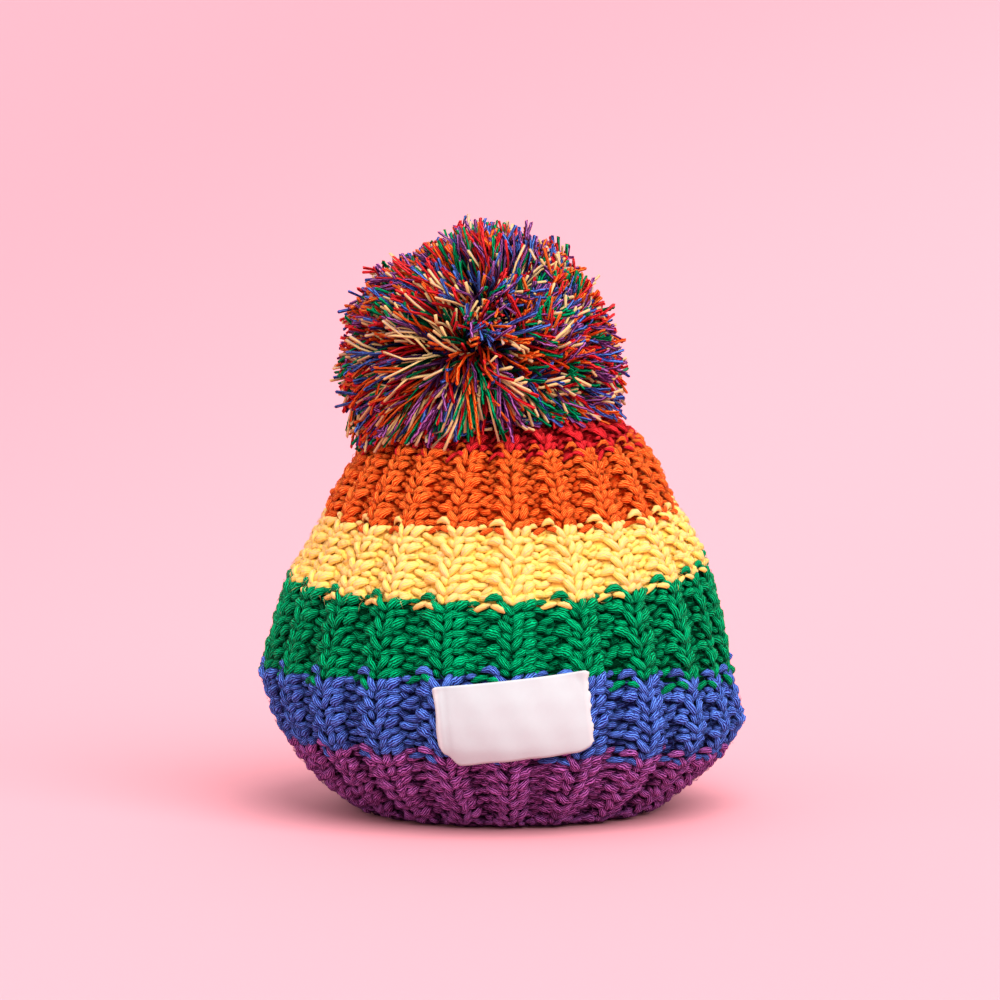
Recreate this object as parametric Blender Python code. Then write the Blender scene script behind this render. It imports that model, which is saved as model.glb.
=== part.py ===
"""Tea cosy: two knitted panels, a pompom of yarn locks and a plain cloth label.

Up is +Z, the front of the cosy faces -Y, the spout slit is on -X and the handle
slit on +X. Sizes are in millimetres up to the last step, which makes metres.
"""
import math

import bmesh
import bpy
import numpy as np

MM = 0.001

# ---------------------------------------------------------------- the body
# Outline over the rib crests, from the hem up to the gathered crown.
# height, radius on the spout side, at front and back, on the handle side
BODY_OUTLINE = (
    (0.0, 56.4, 57.6, 58.8),
    (6.5, 64.8, 65.6, 66.9),
    (11.9, 71.6, 72.8, 74.0),
    (23.4, 81.0, 83.2, 86.2),
    (34.9, 88.0, 89.4, 91.6),
    (43.3, 91.0, 90.4, 90.2),
    (52.5, 93.2, 90.0, 87.4),
    (64.0, 90.8, 88.2, 85.8),
    (77.0, 87.4, 85.2, 83.2),
    (88.9, 83.6, 81.6, 79.8),
    (98.4, 77.1, 76.7, 76.6),
    (112.6, 69.4, 69.0, 68.8),
    (121.8, 65.6, 64.2, 63.0),
    (127.9, 61.4, 61.4, 61.5),
    (134.4, 57.4, 57.8, 58.0),
    (141.3, 52.0, 52.4, 52.8),
    (146.7, 46.0, 46.4, 46.8),
    (151.6, 38.0, 38.2, 38.4),
    (155.8, 28.0, 28.0, 28.0),
    (158.8, 16.0, 16.0, 16.0),
    (160.0, 5.0, 5.0, 5.0),
)
# Where each yarn gives way to the next.
# height on the spout side, at front and back, on the handle side
STRIPE_TOPS = (
    (26.8, 30.1, 22.2),
    (54.4, 61.9, 52.5),
    (88.9, 89.2, 94.2),
    (112.6, 116.1, 116.0),
    (142.0, 143.4, 142.0),
)
# Rows of faces knitted in each yarn, from purple at the hem to red at the crown.
ROWS_IN_STRIPE = (4, 3, 3, 3, 3, 3)
HEM_EDGE = 1.6  # height of the rounded cast-on edge
HEM_ROUNDING = 1.0
HEM_WAVE = 0.5  # how far the cast-on edge wanders in and out
HEM_WAVE_TURN = 2.3  # radians of that wave in one rib repeat
HEM_LEVEL = 14.0  # the wall's thickness is measured level up to here

# Centre of each rib of one panel, from its spout edge to its handle edge, as
# degrees from the middle of the panel. The knit is pulled a little uneven.
RIB_CENTRES = (-81.0, -65.5, -49.3, -33.7, -15.4, 1.9, 19.7, 38.0, 55.4, 69.2, 82.0)
PANEL_EDGE = 90.0
RIB_SWAY = 0.8  # degrees that the ribs wander on their way up
RIB_SWAY_LENGTH = 31.0  # how far up the cloth one radian of that sway takes
RIB_SWAY_SHIFT = 1.9  # how far each rib's sway is behind the one before
# How deep the outside lies under the rib crest at each point of one repeat,
# from valley through the V column and back to the next valley.
REPEAT_DEPTHS = (4.2, 2.0, 0.6, 0.0, 0.6, 2.0)
POINTS_IN_REPEAT = len(REPEAT_DEPTHS)
INSIDE_EVERY = 3  # the inside has one point for this many on the outside
INSIDE_UNDER_VALLEY = 7.2
INSIDE_UNDER_CREST = 5.2
HEM_BACK_OFF = 0.75  # share of the rib depth left at the drawn-in hem
CROWN_FADE = (8.0, 30.0)  # radii between which the ribs grow out of the crown
PANEL_GAP = 0.32

# The open slits between the panels. Heights of both ends, half of the width,
# and how far the edges curl out
# side, bottom, top, half_width, curl
SLITS = (
    (-1.0, 58.0, 99.0, 9.0, 2.4),
    (1.0, 36.0, 114.0, 6.5, 2.6),
)
SLIT_REACH = 15.0  # degrees over which the pull of a slit fades
# Small folds where the side seams pull the knit out into a bump.
# side, height, size, half_height
SEAM_BUMPS = (
    (-1.0, 55.0, 2.2, 6.0),
    (1.0, 34.0, 2.4, 6.0),
)
SEAM_REACH = 7.0  # degrees that a bump reaches along the panel

# ---------------------------------------------------------------- the label
LABEL_MIDDLE = (3.8, 46.0)  # across, and height
LABEL_WIDTH = 60.5
LABEL_HEIGHT = 29.0
LABEL_TILT = 4.6  # degrees, rising towards the handle side
LABEL_THICK = 1.0
LABEL_CLEAR = 0.35
LABEL_CORNER = (6.0, 8.5)  # the cut corner at the lower left, along and up
LABEL_RIPPLE = 0.25  # how far it stands off and dips between the ribs
LABEL_RIPPLE_TURNS = (0.42, 0.2)  # radians for each millimetre, across and up
LABEL_COLUMNS = 18
LABEL_ROWS = 7

# ---------------------------------------------------------------- the pompom
POMPOM_MIDDLE = (-8.4, 0.0, 180.5)
CORE_RADII = (37.0, 37.0, 31.0)
POMPOM_RADII = (54.4, 54.0, 44.6)
CORE_LUMP = 1.2
CORE_CLEAR = 0.65  # over the crown, so that the flat facets keep their distance
LOCK_CLEAR = 2.2
LOCK_ROOT_INSET = 1.0
LOCK_SCALES = (1.1, 0.95)  # width at its middle and at its tip, against the root
LOCK_SPREAD = 0.10  # how unevenly the locks are trimmed
LOCK_LEAN = 0.16
TUFT_WAVES = np.array((5.0, 6.5, 5.7))  # how quickly the lean changes round the ball
TUFT_STARTS = np.array((0.4, 2.1, 4.4))
LOCK_DROP = 2.2
LOCK_BEND = 0.3  # share of the drop reached half way along
SKIRT_DROP = 3.6  # the lower locks hang over the crown
SKIRT_LONGER = 0.45
SKIRT_FROM = (0.2, 0.55)  # how far down a lock points before it counts as one
SKIRT_SLIM = 0.48  # how much thinner they are
BARE_UNDER = 4.0  # a root nearer than this to the crown carries no lock
SMALLEST_ROOT = 30.0  # square millimetres
# Partings, where locks lean away from a line, and one knot, where they lean in.
# degrees from the front, degrees up, lean
PARTINGS = (
    (-5.0, 8.0, 0.30),
    (-27.0, -6.0, 0.24),
    (62.0, 24.0, 0.22),
    (-100.0, 10.0, 0.26),
    (160.0, 5.0, 0.26),
    (20.0, 74.0, 0.14),
    (10.0, -17.0, -0.22),
)
PARTING_REACH = 26.0
SEED = 11

# ---------------------------------------------------------------- finishes
# name, red, green, blue, roughness
YARNS = (
    ("purple_yarn", 0.200, 0.040, 0.170, 0.86),
    ("blue_yarn", 0.012, 0.060, 0.420, 0.84),
    ("green_yarn", 0.010, 0.250, 0.060, 0.86),
    ("yellow_yarn", 0.860, 0.640, 0.230, 0.86),
    ("orange_yarn", 0.880, 0.190, 0.022, 0.84),
    ("red_yarn", 0.560, 0.014, 0.014, 0.84),
)
LABEL_CLOTH = ("label_cloth", 0.80, 0.72, 0.70, 0.90)
ALL_YARNS = tuple(range(len(YARNS)))


def finish(name, red, green, blue, roughness):
    """One plain finish with its colour, roughness and no metal."""
    material = bpy.data.materials.get(name) or bpy.data.materials.new(name)
    material.use_nodes = True
    shader = material.node_tree.nodes["Principled BSDF"]
    shader.inputs["Base Color"].default_value = (red, green, blue, 1.0)
    shader.inputs["Roughness"].default_value = roughness
    shader.inputs["Metallic"].default_value = 0.0
    return material


def smooth(value, low, high):
    """0 below low, 1 above high and an even rise between them."""
    share = min(max((value - low) / (high - low), 0.0), 1.0)
    return share * share * (3.0 - 2.0 * share)


def bell(value, middle, half):
    """A soft hump of height 1 at the middle, gone at three halves away."""
    return math.exp(-(((value - middle) / half) ** 2))


OUTLINE = np.array(BODY_OUTLINE)
HEIGHTS, MIDDLE_RADII = OUTLINE[:, 0], OUTLINE[:, 2]
ALONG = np.concatenate(([0.0], np.cumsum(np.hypot(np.diff(HEIGHTS), np.diff(MIDDLE_RADII)))))


def along_at(height):
    """Distance over the cloth from the hem to this height."""
    return float(np.interp(height, HEIGHTS, ALONG))


def sided(spout, middle, handle, turn):
    """A size between those of the sides and of the middle; turn is in radians."""
    side = math.sin(turn)
    end = spout if side < 0.0 else handle
    return middle + (end - middle) * side * side


def outline_at(along, turn):
    """Radius and height of the rib crests, this far up the cloth."""
    height = float(np.interp(along, ALONG, HEIGHTS))
    radii = [float(np.interp(along, ALONG, OUTLINE[:, k])) for k in (1, 2, 3)]
    return sided(*radii, turn), height


def outward_at(along, turn):
    """Direction out of the cloth as radius and height, level near the hem."""
    low, high = max(along - 3.0, 0.0), min(along + 3.0, ALONG[-1])
    (r0, z0), (r1, z1) = outline_at(low, turn), outline_at(high, turn)
    level = 1.0 - smooth(along, 0.0, HEM_LEVEL)
    radial = (z1 - z0) * (1.0 - level) + level * (high - low)
    upward = (r0 - r1) * (1.0 - level)
    size = math.hypot(radial, upward)
    return radial / size, upward / size


def rib_turn(phase, along):
    """Radians from the panel's middle to this point of the ribs."""
    count = len(RIB_CENTRES)
    known = [-0.5, *range(count), count - 0.5]
    turns = [-PANEL_EDGE, *RIB_CENTRES, PANEL_EDGE]
    inner = 1.0 - (2.0 * (phase + 0.5) / count - 1.0) ** 2
    sway = RIB_SWAY * inner * math.sin(along / RIB_SWAY_LENGTH + phase * RIB_SWAY_SHIFT)
    return math.radians(float(np.interp(phase, known, turns)) + sway)


def slit_pull(turn, height, radius, spin):
    """How far the slits draw this point along the panel and lift it out."""
    pull, lift = 0.0, 0.0
    for world_side, bottom, top, half_width, curl in SLITS:
        side = world_side * spin
        if not bottom < height < top:
            continue
        open_here = math.sin(math.pi * (height - bottom) / (top - bottom)) ** 0.7
        near = math.exp(-(math.radians(PANEL_EDGE) - side * turn) / math.radians(SLIT_REACH))
        pull -= side * near * math.asin(half_width * open_here / radius)
        lift += curl * open_here * near ** 3
    for world_side, middle, size, half_height in SEAM_BUMPS:
        side = world_side * spin
        near = (math.radians(PANEL_EDGE) - side * turn) / math.radians(SEAM_REACH)
        lift += size * bell(height, middle, half_height) * math.exp(-near * near)
    return pull, lift


def panel_point(phase, along, under_crest, spin):
    """A point of a panel this deep under the rib crests; spin is -1 at the back."""
    turn = rib_turn(phase, along)
    radius, height = outline_at(along, turn * spin)
    radial, upward = outward_at(along, turn * spin)
    grown = smooth(radius, *CROWN_FADE)
    hem = HEM_BACK_OFF + (1.0 - HEM_BACK_OFF) * smooth(along, 0.0, HEM_LEVEL)
    plain = under_crest - min(under_crest, REPEAT_DEPTHS[0])
    depth = plain + (under_crest - plain) * grown * hem
    if along < along_at(HEM_EDGE):
        radius += HEM_WAVE * math.sin(phase * HEM_WAVE_TURN)
        if plain == 0.0:
            depth += HEM_ROUNDING * (1.0 - along / along_at(HEM_EDGE))
    pull, lift = slit_pull(turn, height, radius, spin)
    radius += lift - depth * radial
    height -= depth * upward
    across = radius * math.sin(turn + pull)
    ahead = radius * math.cos(turn + pull) + 0.5 * PANEL_GAP
    return spin * across, -spin * ahead, height


def knit_rows():
    """For each row of points: its place over the cloth by side, and its yarn."""
    tops = [(HEM_EDGE, HEM_EDGE, HEM_EDGE), *STRIPE_TOPS]
    rows = [((0.0, 0.0, 0.0), 0)]
    for yarn, count in enumerate(ROWS_IN_STRIPE):
        low = [along_at(z) for z in tops[yarn]]
        high = [along_at(z) for z in STRIPE_TOPS[yarn]] if yarn < len(STRIPE_TOPS) else [ALONG[-1]] * 3
        first = 0 if yarn == 0 else 1
        for step in range(first, count + 1):
            share = step / count
            rows.append((tuple(a + (b - a) * share for a, b in zip(low, high)), yarn))
    return rows


def row_along(places, phase, spin):
    """Distance over the cloth of one row where it crosses this rib."""
    return sided(*places, spin * rib_turn(phase, 0.0))


def build_panel(name, spin):
    """One knitted panel; with spin -1 it is turned half round, for the back."""
    mesh = bmesh.new()
    rows = knit_rows()
    ribs = len(RIB_CENTRES)
    outside_phases = [k / POINTS_IN_REPEAT - 0.5 for k in range(ribs * POINTS_IN_REPEAT + 1)]
    inside_phases = outside_phases[::INSIDE_EVERY]
    crown_phases = outside_phases[::POINTS_IN_REPEAT]
    outside, inside = [], []
    for index, (places, _yarn) in enumerate(rows):
        last = index == len(rows) - 1
        phases = crown_phases if last else outside_phases
        inner = crown_phases if last else inside_phases
        row = []
        for phase in phases:
            step = round((phase + 0.5) * POINTS_IN_REPEAT) % POINTS_IN_REPEAT
            along = row_along(places, phase, spin)
            row.append(panel_point(phase, along, REPEAT_DEPTHS[step], spin))
        outside.append([mesh.verts.new(point) for point in row])
        row = []
        for phase in inner:
            in_valley = round((phase + 0.5) * 2) % 2 == 0
            under = INSIDE_UNDER_VALLEY if in_valley else INSIDE_UNDER_CREST
            row.append(panel_point(phase, row_along(places, phase, spin), under, spin))
        inside.append([mesh.verts.new(point) for point in row])

    def strip(first, second, yarn):
        """Faces between two rows of points; one row may be the coarser one."""
        if len(first) < len(second):
            first, second, swapped = second, first, True
        else:
            swapped = False
        every = (len(first) - 1) // (len(second) - 1)
        for k in range(len(second) - 1):
            ring = first[k * every : (k + 1) * every + 1] + [second[k + 1], second[k]]
            face = mesh.faces.new(ring[::-1] if swapped else ring)
            face.material_index = yarn

    for index in range(len(rows) - 1):
        yarn = rows[index + 1][1]
        strip(outside[index], outside[index + 1], yarn)
        strip(inside[index + 1], inside[index], yarn)
        for edge, flip in ((0, False), (-1, True)):
            ring = [outside[index][edge], outside[index + 1][edge]]
            ring += [inside[index + 1][edge], inside[index][edge]]
            face = mesh.faces.new(ring if flip else ring[::-1])
            face.material_index = yarn
    strip(inside[0], outside[0], rows[0][1])
    strip(outside[-1], inside[-1], rows[-1][1])
    return close_object(name, mesh, ALL_YARNS)


def close_object(name, mesh, yarns, material=None):
    """Face the body outwards, add it to the scene and give it its finishes."""
    bmesh.ops.triangulate(mesh, faces=mesh.faces[:], quad_method="BEAUTY", ngon_method="BEAUTY")
    bmesh.ops.recalc_face_normals(mesh, faces=mesh.faces[:])
    data = bpy.data.meshes.new(name)
    mesh.to_mesh(data)
    mesh.free()
    for yarn in yarns:
        data.materials.append(finish(*YARNS[yarn]))
    if material is not None:
        data.materials.append(material)
    item = bpy.data.objects.new(name, data)
    bpy.context.scene.collection.objects.link(item)
    return item


# ---------------------------------------------------------------- the label
def label_point(across, up, outer):
    """A point of the label; across and up run over its flat piece."""
    tilt = math.radians(LABEL_TILT)
    x = LABEL_MIDDLE[0] + across * math.cos(tilt) - up * math.sin(tilt)
    height = LABEL_MIDDLE[1] + across * math.sin(tilt) + up * math.cos(tilt)
    along = along_at(height)
    radius, _height = outline_at(along, 0.0)
    radial, upward = outward_at(along, 0.0)
    turn = x / radius
    wave = math.sin(across * LABEL_RIPPLE_TURNS[0]) * math.cos(up * LABEL_RIPPLE_TURNS[1])
    out = LABEL_CLEAR + LABEL_RIPPLE * (1.0 + wave) + (LABEL_THICK if outer else 0.0)
    radius += out * radial
    return (
        radius * math.sin(turn),
        -radius * math.cos(turn) - 0.5 * PANEL_GAP,
        height + out * upward,
    )


def build_label():
    """A small sheet, curved over the ribs, with one cut corner."""
    mesh = bmesh.new()
    columns = [-0.5 + k / LABEL_COLUMNS for k in range(LABEL_COLUMNS + 1)]
    rows = [-0.5 + k / LABEL_ROWS for k in range(LABEL_ROWS + 1)]
    sides = []
    for outer in (True, False):
        grid = []
        for v in rows:
            line = []
            for u in columns:
                across, up = u * LABEL_WIDTH, v * LABEL_HEIGHT
                reach = across + 0.5 * LABEL_WIDTH
                short = LABEL_CORNER[1] * max(1.0 - reach / LABEL_CORNER[0], 0.0)
                up += short * (0.5 - v)
                line.append(mesh.verts.new(label_point(across, up, outer)))
            grid.append(line)
        sides.append(grid)
    front, back = sides
    for j in range(LABEL_ROWS):
        for i in range(LABEL_COLUMNS):
            mesh.faces.new((front[j][i], front[j][i + 1], front[j + 1][i + 1], front[j + 1][i]))
            mesh.faces.new((back[j][i], back[j + 1][i], back[j + 1][i + 1], back[j][i + 1]))
    for j in range(LABEL_ROWS):
        for i in (0, LABEL_COLUMNS):
            ring = (front[j][i], front[j + 1][i], back[j + 1][i], back[j][i])
            mesh.faces.new(ring if i == 0 else ring[::-1])
    for i in range(LABEL_COLUMNS):
        for j in (0, LABEL_ROWS):
            ring = (front[j][i], back[j][i], back[j][i + 1], front[j][i + 1])
            mesh.faces.new(ring if j == 0 else ring[::-1])
    return close_object("label", mesh, (), finish(*LABEL_CLOTH))


# ---------------------------------------------------------------- the pompom
def crown_height(x, y):
    """Height of the rib crests of the upper body under this point."""
    radius = math.hypot(x, y)
    top = int(np.argmax(MIDDLE_RADII))
    radii, heights = MIDDLE_RADII[top:][::-1], HEIGHTS[top:][::-1]
    return float(np.interp(radius, radii, heights))


def direction(front_turn, up):
    """Unit direction from degrees round from the front and degrees up."""
    turn, rise = math.radians(front_turn), math.radians(up)
    return np.array(
        (math.sin(turn) * math.cos(rise), -math.cos(turn) * math.cos(rise), math.sin(rise))
    )


def lock_way(way):
    """The way a lock points: outward, away from partings and a little down."""
    lean = way.copy()
    for front_turn, up, strength in PARTINGS:
        from_middle = way - direction(front_turn, up)
        away = float(np.linalg.norm(from_middle))
        reach = 2.0 * math.sin(math.radians(PARTING_REACH) / 2.0)
        if away > 1e-6:
            lean = lean + strength * from_middle / away * math.exp(-((away / reach) ** 2))
    lean = lean + LOCK_LEAN * np.sin(TUFT_WAVES * way[[1, 2, 0]] + TUFT_STARTS)
    return lean / np.linalg.norm(lean)


def trimmed(root, way, middle, radii):
    """How far a lock runs from its root before the trimmed outside."""
    offset, scaled = (root - middle) / radii, way / radii
    a, b, c = scaled @ scaled, offset @ scaled, offset @ offset - 1.0
    return (-b + math.sqrt(max(b * b - a * c, 0.0))) / a


def lift_clear(points, clear):
    """The points, raised together until all stay this far over the crown."""
    needed = max(crown_height(x, y) + clear - z for x, y, z in points)
    return [point + np.array((0.0, 0.0, max(needed, 0.0))) for point in points]


def grow_lock(mesh, root_face, middle, radii, chance):
    """Raise one bent lock of yarn with a trimmed end from its root facet."""
    root = np.array(root_face.calc_center_median()[:])
    outward = (root - middle) / np.linalg.norm(root - middle)
    way = lock_way(outward)
    hangs = smooth(-outward[2], *SKIRT_FROM)
    spread = 1.0 - LOCK_SPREAD * chance.uniform(0.0, 1.0) ** 2 + SKIRT_LONGER * hangs
    length = trimmed(root, way, middle, radii) * spread
    drop = LOCK_DROP * (1.0 - abs(outward[2])) + SKIRT_DROP * hangs
    bent = (outward + way) / np.linalg.norm(outward + way)
    centres = (root + 0.5 * length * bent, root + 0.5 * length * (bent + way))
    sinks = (LOCK_BEND * drop, drop)
    ring = list(root_face.verts)
    corners = [np.array(vertex.co[:]) - root for vertex in ring]
    for centre, sink, scale in zip(centres, sinks, LOCK_SCALES):
        width = scale * (1.0 - SKIRT_SLIM * hangs)
        points = [centre + corner * width - np.array((0.0, 0.0, sink)) for corner in corners]
        grown = [mesh.verts.new(point) for point in lift_clear(points, LOCK_CLEAR)]
        for k, vertex in enumerate(ring):
            after = (k + 1) % len(ring)
            side = mesh.faces.new((vertex, ring[after], grown[after], grown[k]))
            side.material_index = root_face.material_index
        ring = grown
    end = mesh.faces.new(ring)
    end.material_index = root_face.material_index


def build_pompom():
    """A lumpy core with one lock of yarn on each of its facets."""
    chance = np.random.default_rng(SEED)
    middle, radii = np.array(POMPOM_MIDDLE), np.array(POMPOM_RADII)
    mesh = bmesh.new()
    bmesh.ops.create_icosphere(mesh, subdivisions=3, radius=1.0)
    for vertex in mesh.verts:
        way = np.array(vertex.co[:])
        lump = 1.0 + chance.uniform(-1.0, 1.0) * CORE_LUMP / CORE_RADII[0]
        point = middle + way * np.array(CORE_RADII) * lump
        vertex.co = lift_clear([point], CORE_CLEAR)[0]
    for face in mesh.faces:
        face.material_index = int(chance.integers(len(YARNS)))
    rooted = []
    for face in mesh.faces:
        centre = face.calc_center_median()
        over_crown = centre.z - crown_height(centre.x, centre.y)
        if over_crown > BARE_UNDER and face.calc_area() > SMALLEST_ROOT:
            rooted.append(face)
    bmesh.ops.inset_individual(mesh, faces=rooted, thickness=LOCK_ROOT_INSET, use_even_offset=True)
    for face in rooted:
        grow_lock(mesh, face, middle, radii, chance)
    bmesh.ops.delete(mesh, geom=rooted, context="FACES_ONLY")
    return close_object("pompom", mesh, ALL_YARNS), len(rooted)


# ---------------------------------------------------------------- all of it
def centre_on_hem(items):
    """Put the box of the whole over the origin, on Z zero, and make metres."""
    points = np.array([v.co[:] for item in items for v in item.data.vertices])
    low, high = points.min(axis=0), points.max(axis=0)
    shift = np.array((0.5 * (low[0] + high[0]), 0.5 * (low[1] + high[1]), low[2]))
    for item in items:
        for vertex in item.data.vertices:
            vertex.co = (np.array(vertex.co[:]) - shift) * MM
        item.data.update()
    return shift


def main():
    """Clear the scene and build the four pieces."""
    for item in list(bpy.data.objects):
        bpy.data.objects.remove(item)
    pompom, locks = build_pompom()
    items = [
        build_panel("front_panel", 1),
        build_panel("back_panel", -1),
        build_label(),
        pompom,
    ]
    shift = centre_on_hem(items)
    print("locks", locks, "shift", [round(float(value), 3) for value in shift])


main()
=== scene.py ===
"""Looks of a hand-knitted tea cosy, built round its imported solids.

Two panels of chunky rib in six stripes, the stitches laid on a ribbed ground,
a wound pompom on the gathered crown, and a plain label on the front. Every
shape is a surface worked out with numpy as whole arrays: a function of two
parameters on a grid, or a profile carried along a path. Lengths in the classes
are millimetres; meshes are put down in metres.
"""
import logging
import math
from dataclasses import dataclass, field
from enum import Enum

import bpy
import numpy as np
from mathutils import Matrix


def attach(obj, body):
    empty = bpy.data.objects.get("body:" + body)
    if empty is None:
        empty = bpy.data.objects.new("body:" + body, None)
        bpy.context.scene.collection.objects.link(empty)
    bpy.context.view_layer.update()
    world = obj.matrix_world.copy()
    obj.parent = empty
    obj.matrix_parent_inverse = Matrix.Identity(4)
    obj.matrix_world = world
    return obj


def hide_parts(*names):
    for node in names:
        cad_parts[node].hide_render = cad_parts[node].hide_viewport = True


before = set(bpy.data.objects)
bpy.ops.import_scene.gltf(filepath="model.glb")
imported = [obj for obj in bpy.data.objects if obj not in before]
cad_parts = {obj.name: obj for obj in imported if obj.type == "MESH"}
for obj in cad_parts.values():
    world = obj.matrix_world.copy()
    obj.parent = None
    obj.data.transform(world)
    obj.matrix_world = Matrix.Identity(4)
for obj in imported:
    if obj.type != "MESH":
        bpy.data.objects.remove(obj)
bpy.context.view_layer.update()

LOG = logging.getLogger("tea_cosy")
MM = 0.001
TURN = 2.0 * math.pi
AXIS = np.array((1.385, 0.966, 0.0))  # the cosy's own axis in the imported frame
FLOOR_CLEAR = 0.0004  # metres that every stitch keeps over the floor
STEPS = np.array((-1.0, -0.76, -0.28, 0.28, 0.76, 1.0))  # where a stitch's rings lie
TAPER = 1.0 - 0.62 * np.abs(STEPS) ** 2.4  # the share of its size that each ring has
LOBE, WIND = 0.07, 1.5  # how proud plies stand, and the radians they turn in a stitch
UV_NAME = "along_the_yarn"
Array = np.ndarray
Colour = tuple[float, float, float]
Chance, Socket, Material = np.random.Generator, bpy.types.NodeSocket, bpy.types.Material
Finishes = dict["Yarn", Material]


# ------------------------------------------------------------------ tools
def smooth(value: Array, low: float, high: float) -> Array:
    """Rise evenly from 0 at low to 1 at high, with soft ends."""
    share = np.clip((value - low) / (high - low), 0.0, 1.0)
    return share * share * (3.0 - 2.0 * share)


def bell(value: Array, middle: float, half: float) -> Array:
    """A soft hump of height 1 at the middle."""
    return np.exp(-(((value - middle) / half) ** 2))


def unit(vectors: Array) -> Array:
    """The vectors along the last axis, made one long."""
    return vectors / np.maximum(np.linalg.norm(vectors, axis=-1, keepdims=True), 1e-9)


def chord(degrees: float) -> float:
    """The distance between two directions that are this many degrees apart."""
    return 2.0 * math.sin(math.radians(degrees) / 2.0)


def above_floor(places: Array) -> Array:
    """The places in metres, none of them nearer to the floor than a stitch may be."""
    places[..., 2] = np.maximum(places[..., 2], FLOOR_CLEAR)
    return places


@dataclass
class Surface:
    """Points, faces and their data on the way into one mesh.

    Attributes:
        points: (n, 3) places in metres.
        faces: arrays of corner numbers, each (m, 3) or (m, 4).
        uvs: for each array of faces, its (m, corners, 2) places on the piece.
        slots: for each array of faces, a number or an array of finish numbers.
        shade: (n,) how far each point's colour is from plain, where it differs:
            mostly painted shade, with random tone and on the hairs a painted highlight.
    """

    points: Array
    faces: list[Array]
    uvs: list[Array] = field(default_factory=list)
    slots: list = field(default_factory=list)
    shade: Array | None = None

    @classmethod
    def joined(cls, parts: list["Surface"]) -> "Surface":
        """One surface of several that all have shades."""
        shifts = np.cumsum([0] + [len(part.points) for part in parts])
        return cls(
            np.concatenate([part.points for part in parts]),
            [faces + shift for part, shift in zip(parts, shifts) for faces in part.faces],
            [uv for part in parts for uv in part.uvs],
            [slot for part in parts for slot in part.slots],
            np.concatenate([part.shade for part in parts]),
        )

    def piece(self, name: str, finishes: list[Material]) -> bpy.types.Object:
        """Put the surface into a smooth mesh object at the origin.

        Args:
            name: the object's name.
            finishes: the materials, in the order of the slots.
        Returns:
            The new object, linked to the scene.
        """
        mesh = bpy.data.meshes.new(name)
        corners = np.concatenate([f.ravel() for f in self.faces]).astype(np.int32)
        sizes = np.concatenate([np.full(len(f), f.shape[1], np.int32) for f in self.faces])
        starts = np.concatenate(([0], np.cumsum(sizes)[:-1])).astype(np.int32)
        mesh.vertices.add(len(self.points))
        mesh.vertices.foreach_set("co", self.points.astype(np.float32).ravel())
        mesh.loops.add(len(corners))
        mesh.loops.foreach_set("vertex_index", corners)
        mesh.polygons.add(len(sizes))
        mesh.polygons.foreach_set("loop_start", starts)
        mesh.polygons.foreach_set("use_smooth", np.ones(len(sizes), bool))
        if self.slots:
            parts = [np.broadcast_to(s, len(f)) for s, f in zip(self.slots, self.faces)]
            mesh.polygons.foreach_set("material_index", np.concatenate(parts).astype(np.int32))
        if self.uvs:
            places = np.concatenate([uv.ravel() for uv in self.uvs]).astype(np.float32)
            mesh.uv_layers.new(name=UV_NAME).data.foreach_set("uv", places)
        if self.shade is not None:
            layer = mesh.attributes.new("shade", "FLOAT", "POINT")
            layer.data.foreach_set("value", self.shade.astype(np.float32))
        for material in finishes:
            mesh.materials.append(material)
        mesh.update(calc_edges=True)
        item = bpy.data.objects.new(name, mesh)
        bpy.context.scene.collection.objects.link(item)
        LOG.info("%s: %d faces", name, len(sizes))
        return item


def grid_faces(rows: int, columns: int, wrap: bool = False) -> Array:
    """Quads of a grid of points that are numbered row by row.

    Args:
        rows: how many rows of points.
        columns: how many points in a row.
        wrap: whether the last column joins the first.

    Returns:
        (n, 4) corner numbers, anticlockwise where columns run right and rows up.
    """
    low = np.arange(rows - 1)[:, None] * columns
    here = np.arange(columns if wrap else columns - 1)[None, :]
    after, high = (here + 1) % columns, low + columns
    return np.stack((low + here, low + after, high + after, high + here), -1).reshape(-1, 4)


def tubes(
    line: Array, across: Array, out: Array, twist: Array, lobe: float, sides: int
) -> tuple[Array, Array]:
    """Many closed tubes of yarn at once.

    Ring j of tube i is line + across cos(a) + out sin(a), where a runs once
    round and turns on by the twist along the tube, and every second point
    stands proud by the lobe, so that the crests wind round as plies do. The
    first and last ring are single points.

    Args:
        line: (tubes, rings, 3) middle line, both end points among the rings.
        across: (tubes, rings, 3) half width to one side.
        out: (tubes, rings, 3) half height, a quarter turn on from across.
        twist: (tubes,) radians that the section turns from end to end.
        lobe: share of the radius that crests stand proud and grooves lie deep.
        sides: points in a ring.

    Returns:
        The points (tubes, n, 3), and how far along (0 to 1) each lies.
    """
    count, rings = line.shape[:2]
    share = np.linspace(0.0, 1.0, rings)[1:-1]
    turn = TURN * np.arange(sides) / sides
    angle = turn[None, None, :] + (twist[:, None] * (share[None, :] - 0.5))[:, :, None]
    proud = 1.0 + lobe * np.where(np.arange(sides) % 2, -1.0, 1.0)
    ring = (
        line[:, 1:-1, None, :]
        + across[:, 1:-1, None, :] * (np.cos(angle) * proud)[..., None]
        + out[:, 1:-1, None, :] * (np.sin(angle) * proud)[..., None]
    )
    points = np.concatenate((line[:, :1], ring.reshape(count, -1, 3), line[:, -1:]), axis=1)
    return points, np.concatenate(([0.0], np.repeat(share, sides), [1.0]))


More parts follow.
